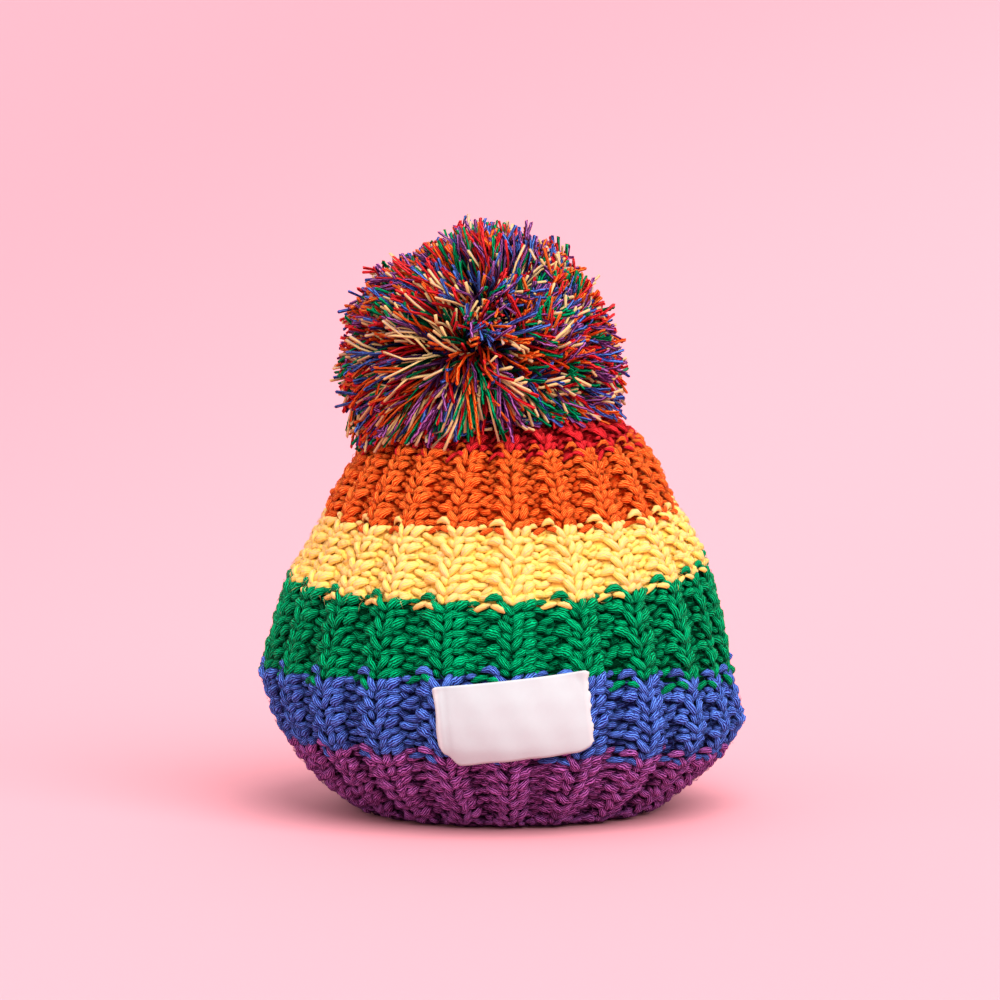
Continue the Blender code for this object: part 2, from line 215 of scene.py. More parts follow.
def tube_faces(count: int, rings: int, sides: int) -> tuple[Array, Array, Array, Array]:
    """Faces of many closed tubes whose points come from tubes().

    Args:
        count: how many tubes.
        rings: rings of each, its two end points among them.
        sides: points in a ring.

    Returns:
        Quads (n, 4) and triangles (m, 3) of corner numbers, and how far round
        each of their corners lies, which is 1 and not 0 at the end of a ring.
    """
    inner = rings - 2
    k = np.arange(sides)
    after = (k + 1) % sides
    last = 1 + (inner - 1) * sides
    start = np.stack((np.zeros(sides, int), 1 + after, 1 + k), -1)
    end = np.stack((last + k, last + after, np.full(sides, last + sides)), -1)
    here, there = k / sides, (k + 1) / sides
    middle = 0.5 * (here + there)
    round_quads = np.tile(np.stack((here, there, there, here), -1), (inner - 1, 1))
    round_tris = (np.stack((middle, there, here), -1), np.stack((here, there, middle), -1))
    shift = (np.arange(count) * (2 + inner * sides))[:, None, None]
    return (
        (1 + grid_faces(inner, sides, wrap=True)[None] + shift).reshape(-1, 4),
        (np.concatenate((start, end))[None] + shift).reshape(-1, 3),
        np.tile(round_quads, (count, 1)),
        np.tile(np.concatenate(round_tris), (count, 1)),
    )


def tube_surface(
    points: Array, along: Array, rings: int, sides: int, length: Array, shade: Array | float
) -> Surface:
    """The surface of many tubes, with yarn places for the finish.

    Args:
        points: (tubes, n, 3) places in metres.
        along: (n,) share of each tube's length.
        rings: rings of each tube.
        sides: points in a ring.
        length: (tubes,) length in millimetres.
        shade: how far the points' colours are from plain: painted shade and highlight, with random
            tone.

    Returns:
        A surface whose u runs along the yarn in centimetres and v once round.
    """
    count = len(points)
    quads, tris, round_quads, round_tris = tube_faces(count, rings, sides)
    start = np.arange(count) * 0.37  # so that no two yarns are drawn alike
    u = (start[:, None] + along[None, :] * length[:, None] / 10.0).ravel()
    uvs = [np.stack((u[quads], round_quads), -1), np.stack((u[tris], round_tris), -1)]
    shades = np.broadcast_to(shade, points.shape[:2]).ravel()
    return Surface(points.reshape(-1, 3), [quads, tris], uvs, [0, 0], shades)


# --------------------------------------------------------------- finishes
@dataclass
class NodeWork:
    """A new material's node tree, with short calls to add and join nodes."""

    material: Material

    @classmethod
    def named(cls, name: str) -> "NodeWork":
        """Start a material of this name with its shader and output only."""
        material = bpy.data.materials.new(name)
        material.use_nodes = True
        return cls(material)

    def set(self, node: bpy.types.Node, values: dict) -> None:
        """Set each named or numbered socket that gets a plain value, and join the others."""
        for socket, value in values.items():
            if isinstance(value, Socket):
                self.material.node_tree.links.new(value, node.inputs[socket])
            else:
                node.inputs[socket].default_value = value

    def add(self, kind: str, sockets: dict | None = None, **settings) -> bpy.types.Node:
        """Add one node.

        Args:
            kind: Blender's name for the node, without ShaderNode.
            sockets: input name or number, and its value or the output that feeds it.
            settings: the node's own settings.

        Returns:
            The new node.
        """
        node = self.material.node_tree.nodes.new("ShaderNode" + kind)
        for name, value in settings.items():
            setattr(node, name, value)
        self.set(node, sockets or {})
        return node

    def uv(self) -> list[Socket]:
        """The parts of a point's place on its piece."""
        return self.split(self.add("UVMap", uv_map=UV_NAME).outputs[0])

    def place(self) -> Socket:
        """A point's place in the object."""
        return self.add("TexCoord").outputs["Object"]

    def split(self, place: Socket) -> list[Socket]:
        """The three parts of a place."""
        return self.add("SeparateXYZ", {0: place}).outputs

    def sum(self, how: str, first, second=0.0, third=0.0) -> Socket:
        """The result of one arithmetic step on numbers or outputs."""
        return self.add("Math", {0: first, 1: second, 2: third}, operation=how).outputs[0]

    def times(self, first, second, plus=None) -> Socket:
        """The product of numbers or outputs, with one more added where it is given."""
        if plus is None:
            return self.sum("MULTIPLY", first, second)
        return self.sum("MULTIPLY_ADD", first, second, plus)

    def mix(self, share, first, second) -> Socket:
        """A colour between two colours."""
        node = self.add("Mix", {}, data_type="RGBA")
        self.set(node, {0: share, 6: first, 7: second})
        return node.outputs[2]

    def ramp(
        self, value: Socket, low: float, high: float, to_low=0.0, to_high=1.0
    ) -> Socket:
        """The value, moved from one range to another and held within it."""
        sockets = {0: value, 1: low, 2: high, 3: to_low, 4: to_high}
        return self.add("MapRange", sockets, interpolation_type="SMOOTHSTEP").outputs[0]

    def noise(
        self, place: Socket, scale: float, detail: float = 2.0, rough: float = 0.5
    ) -> Socket:
        """Soft noise at a place."""
        sockets = {"Vector": place, "Scale": scale, "Detail": detail, "Roughness": rough}
        return self.add("TexNoise", sockets).outputs[0]

    def bumps(self, height, strength: float, distance: float) -> Socket:
        """Normals of a surface raised by a height times a distance in metres."""
        sockets = {"Height": height, "Strength": strength, "Distance": distance}
        return self.add("Bump", sockets).outputs[0]

    def shade(self, values: dict) -> Material:
        """Set the shader's own sockets, and hand over the material."""
        self.set(self.material.node_tree.nodes["Principled BSDF"], values)
        return self.material


def rgba(colour: Colour, by: Colour = (1.0, 1.0, 1.0)) -> tuple[float, float, float, float]:
    """A colour for a socket, with a share of each of its channels."""
    return (*(min(channel * share, 1.0) for channel, share in zip(colour, by)), 1.0)


class YarnUse(Enum):
    """How a yarn is used: its strands round the section, and a word for the name."""

    KNITTED = (10.0, "")
    # The ground under the stitches, and the pompom's heart: painted in the deep colour as shade,
    # lighter only on the purl mounds.
    UNDER = (10.0, "_under")
    CUT = (3.0, "_cut")


@dataclass(frozen=True)
class YarnFinish:
    """One yarn: painted shade in its grooves, painted highlights on its strands, with a soft sheen.

    Attributes:
        label: the yarn's name.
        deep: its colour painted as shade in grooves and down in the knit.
        plain: its colour.
        bright: its colour where strands catch the light.
        rough: the shader's roughness.
        sheen: how much light the loose fibres catch.
        relief: how strongly the strands stand out.
        edge: share of the deep colour painted as shade along the sides of each stretch.
        cut_tone: share of each channel that is left in the pompom's cut ends.
    """

    WANDER = (420.0, 1.8)  # the noise that pushes the strands to and fro: scale, how far
    DRIFT = 0.5  # how far the strands turn on in each centimetre
    WAVE = (0.28, 0.24)  # a strand's half height and its middle
    FIBRES = (3.0, 22.0)  # how close the fibres' noise is along and round the yarn
    FIBRE_SHARE = 0.64
    PATCHES = (260.0, 0.7)  # uneven dyeing: scale, how strong
    MOUNDS = (0.26, 0.6, 2.5)  # purl bumps of the ground: height, width, how proud

    label: str
    deep: Colour
    plain: Colour
    bright: Colour
    rough: float = 0.6
    sheen: float = 0.12
    relief: float = 0.9
    edge: float = 0.0
    cut_tone: Colour = (0.94, 0.95, 0.92)

    def mounds(self, work: NodeWork, parts: list[Socket]) -> Socket:
        """Mounds in staggered rows, as purl bumps lie: 1 in their middle, 0 between them."""
        high, wide, _proud = self.MOUNDS
        row = work.times(parts[1], 1.0 / high)
        column = work.times(parts[0], 1.0 / wide, work.times(work.sum("FLOOR", row), 0.5))
        up, on = (work.times(work.sum("FRACT", value), 2.2, -1.1) for value in (row, column))
        return work.ramp(work.times(up, up, work.times(on, on)), 1.1, 0.0)

    def material(self, use: YarnUse) -> Material:
        """Make the yarn's material.

        Strands are the sine of v times their number, pushed to and fro by
        noise, with finer noise drawn long along the yarn; the deep colour is
        painted in their grooves as shade and the bright one on their crests
        as highlights. The shade that a point carries, painted shade and
        highlight with some random tone, moves its colour to the deep one
        below zero and to the bright one above.

        Args:
            use: how the yarn is used.

        Returns:
            The new material.
        """
        count, word = use.value
        tone = self.cut_tone if use is YarnUse.CUT else (1.0, 1.0, 1.0)
        deep, plain, bright = (rgba(c, tone) for c in (self.deep, self.plain, self.bright))
        work = NodeWork.named(self.label + word)
        parts, coords = work.uv(), work.place()
        scale, far = self.WANDER
        push = work.times(work.noise(coords, scale), far, work.times(parts[0], self.DRIFT))
        turns = work.times(work.times(parts[1], count, push), TURN)
        wave = work.times(work.sum("SINE", turns), *self.WAVE)
        drawn = {k: work.times(parts[k], close) for k, close in enumerate(self.FIBRES)}
        fibres = work.noise(work.add("CombineXYZ", drawn).outputs[0], 1.7, 4.0, 0.75)
        strands = work.times(fibres, self.FIBRE_SHARE, wave)
        shade = work.add("Attribute", attribute_name="shade").outputs["Fac"]
        scale, strong = self.PATCHES
        patch = work.noise(coords, scale)
        level = work.times(work.sum("SUBTRACT", patch, 0.5), strong, shade)
        # Painted shade: the deep colour in the grooves between strands; painted highlight: the
        # bright colour on their crests.
        colour = work.mix(work.ramp(strands, 0.22, 0.50), deep, plain)
        colour = work.mix(work.ramp(strands, 0.52, 0.80), colour, bright)
        height, sunk = strands, 0.0
        # On the ground under the stitches the deep colour stays on as painted shade, even where the
        # shade is high, except on the purl mounds.
        if use is YarnUse.UNDER:
            mounds = self.mounds(work, parts)
            height = work.times(mounds, self.MOUNDS[2], strands)
            sunk = work.times(mounds, -0.55, 1.0)
        # Painted shade along the sides and underside of each stretch.
        outward = work.sum("SINE", work.times(parts[1], TURN))
        colour = work.mix(work.ramp(outward, 0.2, 0.95, self.edge, 0.0), colour, deep)
        # Painted shade where the point's shade is low, and a painted highlight where it is high;
        # the patches add random tone to both.
        colour = work.mix(work.ramp(level, -0.85, 0.08, 1.0, sunk), colour, deep)
        colour = work.mix(work.ramp(level, 0.0, 0.5, 0.0, 0.45), colour, bright)
        return work.shade({
            "Base Color": colour,
            "Roughness": self.rough,
            "Specular IOR Level": 0.18,
            "Specular Tint": bright,
            "Sheen Weight": self.sheen,
            "Sheen Roughness": 0.4,
            "Sheen Tint": bright,
            "Normal": work.bumps(height, self.relief, 0.0007),
        })


@dataclass(frozen=True)
class ClothFinish:
    """Bare woven cotton tape: fine plain weave, slightly mottled."""

    label: str = "label_cloth"
    colour: Colour = (0.424, 0.476, 0.484)
    shadow: Colour = (0.404, 0.428, 0.440)
    hem: Colour = (0.500, 0.520, 0.520)
    reach: tuple[float, float] = (26.8, 28.4)  # how far from the middle the hems lie
    thread: float = 0.45

    def material(self) -> Material:
        """Make the cloth's material from two crossed sets of threads over its own UV map."""
        work = NodeWork.named(self.label)
        parts, pitch = work.uv(), TURN / self.thread
        warp, weft = (work.sum("SINE", work.times(parts[k], pitch)) for k in (0, 1))
        weave = work.times(warp, weft)
        mottle = work.noise(work.place(), 130.0, 4.0, 0.6)
        colour = work.mix(work.ramp(mottle, 0.3, 0.7), rgba(self.shadow), rgba(self.colour))
        colour = work.mix(0.6, colour, rgba(self.colour))
        hems = work.ramp(work.sum("ABSOLUTE", parts[0]), *self.reach, 0.0, 0.8)
        return work.shade({
            "Base Color": work.mix(hems, colour, rgba(self.hem)),
            "Roughness": 0.86,
            "Specular IOR Level": 0.25,
            "Sheen Weight": 0.15,
            "Normal": work.bumps(work.times(weave, 0.5, mottle), 0.25, 0.0003),
        })


@dataclass(frozen=True)
class FloorFinish:
    """Plain pale paper that the cosy stands on, painted darker far off and to the left: a painted
    fall-off of light.
    """

    label: str = "pale_paper"
    near: Colour = (0.670, 0.282, 0.321)
    far: Colour = (0.670, 0.227, 0.268)
    # The painted fall-off of light: the floor darkens away from the camera and to the left.
    slant: float = -4.4  # how much the tone's way runs along x, against y
    reach: tuple[float, float] = (0.2, 3.4)

    def material(self) -> Material:
        """Make the paper's material: its painted fall-off of light runs from near to far over the
        floor's y and x.
        """
        work = NodeWork.named(self.label)
        parts = work.split(work.place())
        away = work.times(parts[0], self.slant, parts[1])
        colour = work.mix(work.ramp(away, *self.reach), rgba(self.near), rgba(self.far))
        return work.shade({"Base Color": colour, "Roughness": 0.9, "Specular IOR Level": 0.1})


class Yarn(Enum):
    """The six yarns, from the hem up."""

    PURPLE = YarnFinish(
        "purple_yarn", (0.013, 0.001, 0.017), (0.124, 0.0148, 0.116), (0.56, 0.170, 0.58)
    )
    BLUE = YarnFinish(
        "blue_yarn", (0.006, 0.004, 0.042), (0.029, 0.030, 0.272), (0.12, 0.290, 0.90)
    )
    GREEN = YarnFinish(
        "green_yarn", (0.000, 0.020, 0.007), (0.001, 0.127, 0.038), (0.00, 0.510, 0.19)
    )
    # The yellow's deep colour is lighter than its plain one: painted light that fills the shade in
    # its grooves, on its sides and down in the knit.
    YELLOW = YarnFinish(
        "yellow_yarn", (0.940, 0.630, 0.108), (0.680, 0.412, 0.124), (0.70, 0.465, 0.228),
        sheen=0.45, relief=0.4, edge=0.95, cut_tone=(0.70, 0.72, 1.60),
    )
    ORANGE = YarnFinish(
        "orange_yarn", (0.400, 0.014, 0.000), (0.920, 0.054, 0.002), (1.00, 0.270, 0.05)
    )
    RED = YarnFinish(
        "red_yarn", (0.170, 0.000, 0.002), (0.700, 0.002, 0.009), (1.00, 0.05, 0.06)
    )


# -------------------------------------------------------------- the form
@dataclass
class CosyForm:
    """The form of the knitted body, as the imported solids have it.

    A place on a panel is a phase, which counts ribs from the middle of the
    first, a distance up the cloth from the hem, and a depth under the rib
    crests. All sizes are those of the solids.
    """

    outline: Array = field(default_factory=lambda: np.array((
        # height, radius on the spout side, at front and back, on the handle side
        (0.0, 56.4, 57.6, 58.8), (6.5, 64.8, 65.6, 66.9), (11.9, 71.6, 72.8, 74.0),
        (23.4, 81.0, 83.2, 86.2), (34.9, 88.0, 89.4, 91.6), (43.3, 91.0, 90.4, 90.2),
        (52.5, 93.2, 90.0, 87.4), (64.0, 90.8, 88.2, 85.8), (77.0, 87.4, 85.2, 83.2),
        (88.9, 83.6, 81.6, 79.8), (98.4, 77.1, 76.7, 76.6), (112.6, 69.4, 69.0, 68.8),
        (121.8, 65.6, 64.2, 63.0), (127.9, 61.4, 61.4, 61.5), (134.4, 57.4, 57.8, 58.0),
        (141.3, 52.0, 52.4, 52.8), (146.7, 46.0, 46.4, 46.8), (151.6, 38.0, 38.2, 38.4),
        (155.8, 28.0, 28.0, 28.0), (158.8, 16.0, 16.0, 16.0), (160.0, 5.0, 5.0, 5.0),
    )))
    stripe_tops: tuple = (
        (26.8, 30.1, 22.2), (54.4, 61.9, 52.5), (88.9, 89.2, 94.2),
        (112.6, 116.1, 116.0), (142.0, 143.4, 142.0),
    )
    cells: tuple[int, ...] = (6, 4, 4, 4, 5, 5)  # pairs of knitted rows in each stripe
    ribs: tuple = (-81.0, -65.5, -49.3, -33.7, -15.4, 1.9, 19.7, 38.0, 55.4, 69.2, 82.0)
    sway: tuple[float, float, float] = (0.8, 31.0, 1.9)
    valley: float = 4.2
    valley_power: float = 1.8
    hem_level: float = 14.0
    hem_back_off: float = 0.75
    crown_fade: tuple[float, float] = (8.0, 30.0)
    gap: float = 0.32
    # side, bottom, top, half width, how far the edge curls out
    slits: tuple = ((-1.0, 58.0, 99.0, 9.0, 2.4), (1.0, 36.0, 114.0, 6.5, 2.6))
    slit_reach: float = 15.0  # degrees over which a slit's pull fades
    # side, height, size, half height of the bulge under each slit
    bumps: tuple = ((-1.0, 55.0, 2.2, 6.0), (1.0, 34.0, 2.4, 6.0))
    bump_reach: float = 7.0
    repeat: float = 24.0  # width of one rib repeat where the body is widest
    row_pair: float = 7.8  # height of one cell there
    samples: int = 420  # places in the softened outline
    soften: int = 9  # how many of them the softening takes in to each side
    slope_step: float = 3.0  # distance to each side over which the slope is read

    def __post_init__(self) -> None:
        """Work out the distance over the cloth, and soften the outline's corners."""
        z, r = self.outline[:, 0], self.outline[:, 2]
        self.knots = np.concatenate(([0.0], np.cumsum(np.hypot(np.diff(z), np.diff(r)))))
        self.length = float(self.knots[-1])
        self.fine = np.linspace(0.0, self.length, self.samples)
        window = np.hanning(2 * self.soften + 3)[1:-1]
        window /= window.sum()
        columns = []
        for column in self.outline.T:
            values = np.interp(self.fine, self.knots, column)
            before = 2 * values[0] - values[self.soften:0:-1]
            after = 2 * values[-1] - values[-2:-2 - self.soften:-1]
            padded = np.concatenate((before, values, after))
            columns.append(np.convolve(padded, window, "valid"))
        self.table = np.array(columns)
        tops = [self.along_at(np.array(top)) for top in self.stripe_tops]
        self.stops = np.array([(2.0, 2.0, 2.0), *tops, (self.length,) * 3])
        self.starts = np.concatenate(([0], np.cumsum(self.cells)))

    def along_at(self, height: Array) -> Array:
        """Distance over the cloth from the hem to a height."""
        return np.interp(height, self.outline[:, 0], self.knots)

    def sided(self, spout: Array, middle: Array, handle: Array, turn: Array) -> Array:
        """A size between the sides' and the middle's: middle + (side - middle) sin squared."""
        side = np.sin(turn)
        return middle + (np.where(side < 0.0, spout, handle) - middle) * side * side

    def crest(self, along: Array, turn: Array) -> tuple[Array, Array]:
        """Radius and height of the rib crests, this far up the cloth."""
        height, *sides = (np.interp(along, self.fine, row) for row in self.table)
        return self.sided(*sides, turn), height

    def outward(self, along: Array, turn: Array) -> tuple[Array, Array]:
        """The cloth's normal as radius and height, level near the hem."""
        low = np.maximum(along - self.slope_step, 0.0)
        high = np.minimum(along + self.slope_step, self.length)
        (r0, z0), (r1, z1) = self.crest(low, turn), self.crest(high, turn)
        level = 1.0 - smooth(along, 0.0, self.hem_level)
        radial = (z1 - z0) * (1.0 - level) + level * (high - low)
        upward = (r0 - r1) * (1.0 - level)
        size = np.hypot(radial, upward)
        return radial / size, upward / size

    def rib_turn(self, phase: Array, along: Array) -> Array:
        """Radians from the panel's middle to a point of the ribs, which sway a little."""
        count = len(self.ribs)
        known = np.array((-0.5, *range(count), count - 0.5))
        turns = np.array((-90.0, *self.ribs, 90.0))
        inner = 1.0 - (2.0 * (phase + 0.5) / count - 1.0) ** 2
        size, reach, shift = self.sway
        swayed = size * inner * np.sin(along / reach + phase * shift)
        return np.radians(np.interp(phase, known, turns) + swayed)

    def slit_pull(
        self, turn: Array, height: Array, radius: Array, spin: int
    ) -> tuple[Array, Array]:
        """How far the slits draw a point along the panel and lift it out."""
        pull, lift = np.zeros_like(turn), np.zeros_like(turn)
        for world_side, bottom, top, half_width, curl in self.slits:
            side = world_side * spin
            share = np.clip((height - bottom) / (top - bottom), 0.0, 1.0)
            opened = np.sin(np.pi * share) ** 0.7
            near = np.exp(-(math.radians(90.0) - side * turn) / math.radians(self.slit_reach))
            pull -= side * near * np.arcsin(np.clip(half_width * opened / radius, 0.0, 1.0))
            lift += curl * opened * near ** 3
        for world_side, middle, size, half in self.bumps:
            side = world_side * spin
            near = (math.radians(90.0) - side * turn) / math.radians(self.bump_reach)
            lift += size * bell(height, middle, half) * np.exp(-near * near)
        return pull, lift

    def rib_depth(self, phase: Array, along: Array, turn: Array) -> Array:
        """How deep the rib's surface lies under its crest: a power of the way to the valley."""
        way = 2.0 * np.abs(phase - np.round(phase))
        radius = self.crest(along, turn)[0]
        hem = self.hem_back_off + (1.0 - self.hem_back_off) * smooth(along, 0.0, self.hem_level)
        return self.valley * way ** self.valley_power * smooth(radius, *self.crown_fade) * hem

    def point(
        self, phase: Array, along: Array, under: Array, spin: int, ribbed: bool = True
    ) -> Array:
        """A place in metres.

        Args:
            phase: ribs from the middle of the panel's first rib.
            along: distance up the cloth from the hem.
            under: depth under the rib's own surface, or under its crest.
            spin: 1 for the front panel, -1 for the back.
            ribbed: whether the depth is counted from the rib's own surface.

        Returns:
            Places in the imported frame, with one more axis than phase.
        """
        phase, along, under = np.broadcast_arrays(phase, along, under)
        turn = self.rib_turn(phase, along)
        radius, height = self.crest(along, turn * spin)
        radial, upward = self.outward(along, turn * spin)
        depth = under + (self.rib_depth(phase, along, turn * spin) if ribbed else 0.0)
        pull, lift = self.slit_pull(turn, height, radius, spin)
        radius = radius + lift - depth * radial
        height = height - depth * upward
        x, y = radius * np.sin(turn + pull), radius * np.cos(turn + pull) + 0.5 * self.gap
        return (np.stack((spin * x, -spin * y, height), -1) + AXIS) * MM

    def seam(self, along: Array, side: float, across: Array, under: Array) -> Array:
        """A place by the seam at one side, in millimetres from the axis.

        Args:
            along: distance up the cloth from the hem.
            side: -1 for the spout side, 1 for the handle side.
            across: distance from the seam, towards the back.
            under: depth under the valley's own surface.

        Returns:
            Places with one more axis than along.
        """
        turn = np.full_like(along, side * 0.5 * np.pi)
        radius, height = self.crest(along, turn)
        radial, upward = self.outward(along, turn)
        depth = under + self.rib_depth(np.full_like(along, -0.5), along, turn)
        lift = self.slit_pull(turn, height, radius, 1)[1]
        out = side * (radius + lift - depth * radial)
        return np.stack((out, across, height - depth * upward), -1)

    def on_panel(self, phase: Array) -> Array:
        """The phase, kept just inside the panel's own sides."""
        return np.clip(phase, -0.497, len(self.ribs) - 0.503)

    def row(self, cell: Array, turn: Array) -> Array:
        """Distance up the cloth of a row, which counts cells from the hem."""
        return self.sided(*(np.interp(cell, self.starts, stops) for stops in self.stops.T), turn)

    def local(self, cell: Array, rib: Array, spin: int) -> tuple[Array, Array, Array]:
        """Where each cell starts up the cloth, how high it is, and how wide its repeat is."""
        turn = self.rib_turn(rib, 0.0) * spin
        low, high = self.row(cell, turn), self.row(cell + 1.0, turn)
        radius = self.crest(0.5 * (low + high), turn)[0]
        edges = [np.clip(rib + step, -0.5, len(self.ribs) - 0.5) for step in (-0.5, 0.5)]
        width = radius * (self.rib_turn(edges[1], low) - self.rib_turn(edges[0], low))
        return low, high - low, width


# ------------------------------------------------------------ the knitting
@dataclass(frozen=True)
class Leaf:
    """One stretch of yarn that shows in every cell of the knit.

    Attributes:
        across: its middle, right of the V column's middle.
        up: its middle, over the bottom of the cell.
        lean: degrees from level; above 0 it rises to the right.
        long: its length.
        wide: its width.
        thick: its height off the ground.
        under: how deep its top lies under the rib's own surface.
        bow: how far its middle stands above the line of its ends.
        dip: how far its lower and upper end sink.
    """

    across: float
    up: float
    lean: float
    long: float
    wide: float
    thick: float
    under: float = 0.0
    bow: float = 0.0
    dip: tuple[float, float] = (1.6, 2.2)


class Stitch(Enum):
    """The stretches of yarn in one cell, two knitted rows high and four stitches wide."""

    V_LEFT_SHORT = Leaf(-1.8, 2.3, -56, 6.2, 2.6, 2.5, 0.6, 0.0, (1.4, 2.4))
    V_RIGHT_SHORT = Leaf(2.6, 2.7, 42, 7.8, 3.0, 2.8, 0.1, 0.0, (1.4, 2.4))
    V_LEFT_LONG = Leaf(-2.3, 6.7, -50, 9.4, 3.0, 3.0, -0.4, -0.3, (1.4, 2.4))
    V_RIGHT_LONG = Leaf(2.1, 6.9, 62, 7.4, 2.9, 2.8, -0.1, 0.0, (1.4, 2.4))
    RIGHT_LEG = Leaf(6.2, 7.1, 43, 8.4, 3.9, 3.0, -0.3, 0.3, (1.8, 2.4))
    RIGHT_BUMP = Leaf(5.8, 4.1, 8, 7.0, 2.7, 2.3, 0.6, -0.6, (1.8, 1.8))
    LEFT_LEG = Leaf(-6.6, 2.2, -10, 8.0, 4.0, 3.2, -0.4, 0.9, (2.0, 2.0))
    LEFT_BUMP = Leaf(-5.2, 5.6, -16, 6.6, 2.7, 2.3, 0.6, -0.5, (1.8, 1.8))
    VALLEY_LONG = Leaf(12.2, 1.7, 14, 8.2, 2.9, 2.4, -0.1, -0.6, (1.8, 1.8))
    VALLEY_SHORT = Leaf(10.4, 5.3, -8, 7.0, 3.0, 2.4, 0.4, 0.4, (1.6, 1.6))
    VALLEY_LEFT = Leaf(-10.4, 4.6, 12, 6.8, 2.8, 2.2, 0.7, -0.4, (1.6, 1.6))
    UNDER_RIGHT = Leaf(9.0, 2.6, -24, 7.0, 2.6, 1.9, 1.4, 0.0, (1.0, 1.0))
    UNDER_LEFT = Leaf(-9.6, 7.0, 26, 7.0, 2.6, 1.9, 1.4, 0.0, (1.0, 1.0))
    UNDER_MIDDLE = Leaf(0.2, 4.4, 78, 7.0, 2.8, 1.9, 1.6, 0.0, (1.0, 1.0))


class JoinStitch(Enum):
    """Yarn that shows only in the first cell above where one colour gives way to the next."""

    OLD_ARC = Leaf(-6.6, 1.6, -4, 8.2, 2.9, 3.0, -0.9, 1.9, (1.5, 1.5))
    OLD_DASH = Leaf(10.6, 1.4, 10, 5.4, 2.3, 2.2, -0.2, 0.3, (1.2, 1.2))
    NEW_LEFT_DASH = Leaf(-10.6, -0.9, 20, 8.2, 2.5, 2.6, -0.7, 0.5, (0.9, 0.9))
    NEW_RIGHT_DASH = Leaf(-5.0, -1.1, -26, 6.4, 2.4, 2.6, -0.7, 0.3, (0.9, 0.9))
    NEW_LEG = Leaf(6.4, 2.9, 42, 6.2, 3.0, 2.6, 0.0)


class EdgeStitch(Enum):
    """Yarn along the cast-on hem and along the sides of a panel."""

    HEM_RIGHT = Leaf(-1.6, 1.5, 34, 5.4, 2.7, 2.8, 0.2, 0.0, (1.4, 1.6))
    HEM_LEFT = Leaf(4.2, 1.5, -30, 5.4, 2.7, 2.8, 0.2, 0.0, (1.6, 1.4))
    SIDE_LEFT = Leaf(0.4, 2.0, 66, 5.6, 2.7, 2.9, -1.0, 0.0, (1.6, 1.6))
    SIDE_RIGHT = Leaf(-0.4, 2.0, -66, 5.6, 2.7, 2.9, -1.0, 0.0, (1.6, 1.6))


@dataclass
class LeafBatch:
    """Many leaves of one colour on one panel, ready to be made yarn."""

    form: CosyForm
    spin: int
    sides: int = 8
    plump: float = 1.02
    lean_off: float = 6.0  # the unevenness of the lean in degrees
    place_off: float = 0.3  # of the place
    depth_off: float = 0.25  # of the depth and the bow

    def lay(self, leaf: Leaf, rib: Array, cell: Array, chance: Chance) -> Surface:
        """Lay one kind of leaf on many cells.

        The middle line runs straight along the lean, stands off by a bow of
        one minus the square of the way from its middle, and sinks at both
        ends by the dip times the cube of that way.

        Args:
            leaf: the kind of leaf.
            rib: (n,) the rib of each.
            cell: (n,) the cell of each, counted up from the hem.
            chance: where the small unevenness comes from.

        Returns:
            The surface of all these leaves.
        """
        count = len(rib)
        low, high, width = self.form.local(cell, rib, self.spin)
        wide, tall = width / self.form.repeat, high / self.form.row_pair
        squeeze = np.clip(0.30 + 0.70 * np.minimum(wide, 1.1), 0.35, 1.1)
        jitter = chance.normal(size=(6, count))
        lean = np.radians(leaf.lean + self.lean_off * jitter[0])
        span = leaf.long * (1.0 + 0.07 * jitter[1])
        rise = span * np.sin(lean) * np.clip(tall, 0.7, 1.25)
        reach = np.stack((span * np.cos(lean) * wide, rise), -1)
        length = np.linalg.norm(reach, axis=-1)
        ahead = reach / length[:, None]
        side = np.stack((-ahead[:, 1], ahead[:, 0]), -1)
        deeper = self.depth_off * jitter[2]
        bow = (leaf.bow + deeper)[:, None] * (1.0 - STEPS * STEPS)[None, :]
        across = leaf.across * wide + self.place_off * jitter[3]
        up = leaf.up * tall + self.place_off * jitter[4]
        middle = np.stack((across, up), -1)[:, None, :]
        straight = middle + STEPS[None, :, None] * 0.5 * reach[:, None, :]
        flat = straight + side[:, None, :] * bow[..., None]
        dips = np.where(STEPS < 0.0, *leaf.dip) * np.abs(STEPS) ** 3
        if leaf.lean < 0.0:  # a leaf that falls to the right has its upper end first
            dips = dips[::-1]
        thick = leaf.thick * squeeze * (1.0 + 0.05 * jitter[5])
        out = -(leaf.under + deeper)[:, None] - 0.5 * thick[:, None] - dips[None, :]
        taper = TAPER[None, :, None]
        half_wide = 0.5 * self.plump * leaf.wide * squeeze[:, None, None] * taper
        half_thick = 0.5 * thick[:, None, None] * taper
        none = np.zeros((count, len(STEPS), 1))
        line = np.concatenate((flat, out[..., None]), -1)
        sideways = np.concatenate((side[:, None, :] * half_wide, none), -1)
        proud = np.concatenate((none, none, half_thick), -1)
        turns = WIND * (0.8 + 0.4 * chance.random(count))
        local, along = tubes(line, sideways, proud, turns, LOBE, self.sides)
        middle_phase = rib[:, None] + flat[:, :, 0].mean(axis=1)[:, None] / width[:, None]
        phase = rib[:, None] + local[..., 0] / width[:, None]
        up, zero = low[:, None] + local[..., 1], np.zeros_like(phase)
        depth = self.form.rib_depth(0.5 * (phase + middle_phase), up, zero) - local[..., 2]
        phase, up = self.form.on_panel(phase), np.clip(up, 0.2, self.form.length)
        places = above_floor(self.form.point(phase, up, depth, self.spin, ribbed=False))
        # A random tone for each leaf, a little towards the bright colour, less painted shade where
        # its points sink into the knit and where they lie down in a rib's valley.
        own = 0.06 + 0.11 * chance.normal(size=(count, 1)).clip(-2.0, 2.0)
        sunk = 0.95 * smooth(-local[..., 2], 0.6, 3.0)
        valley = 0.22 * smooth(self.form.rib_depth(phase, up, zero), 0.8, 4.2)
        return tube_surface(places, along, len(STEPS), self.sides, length, own - sunk - valley)


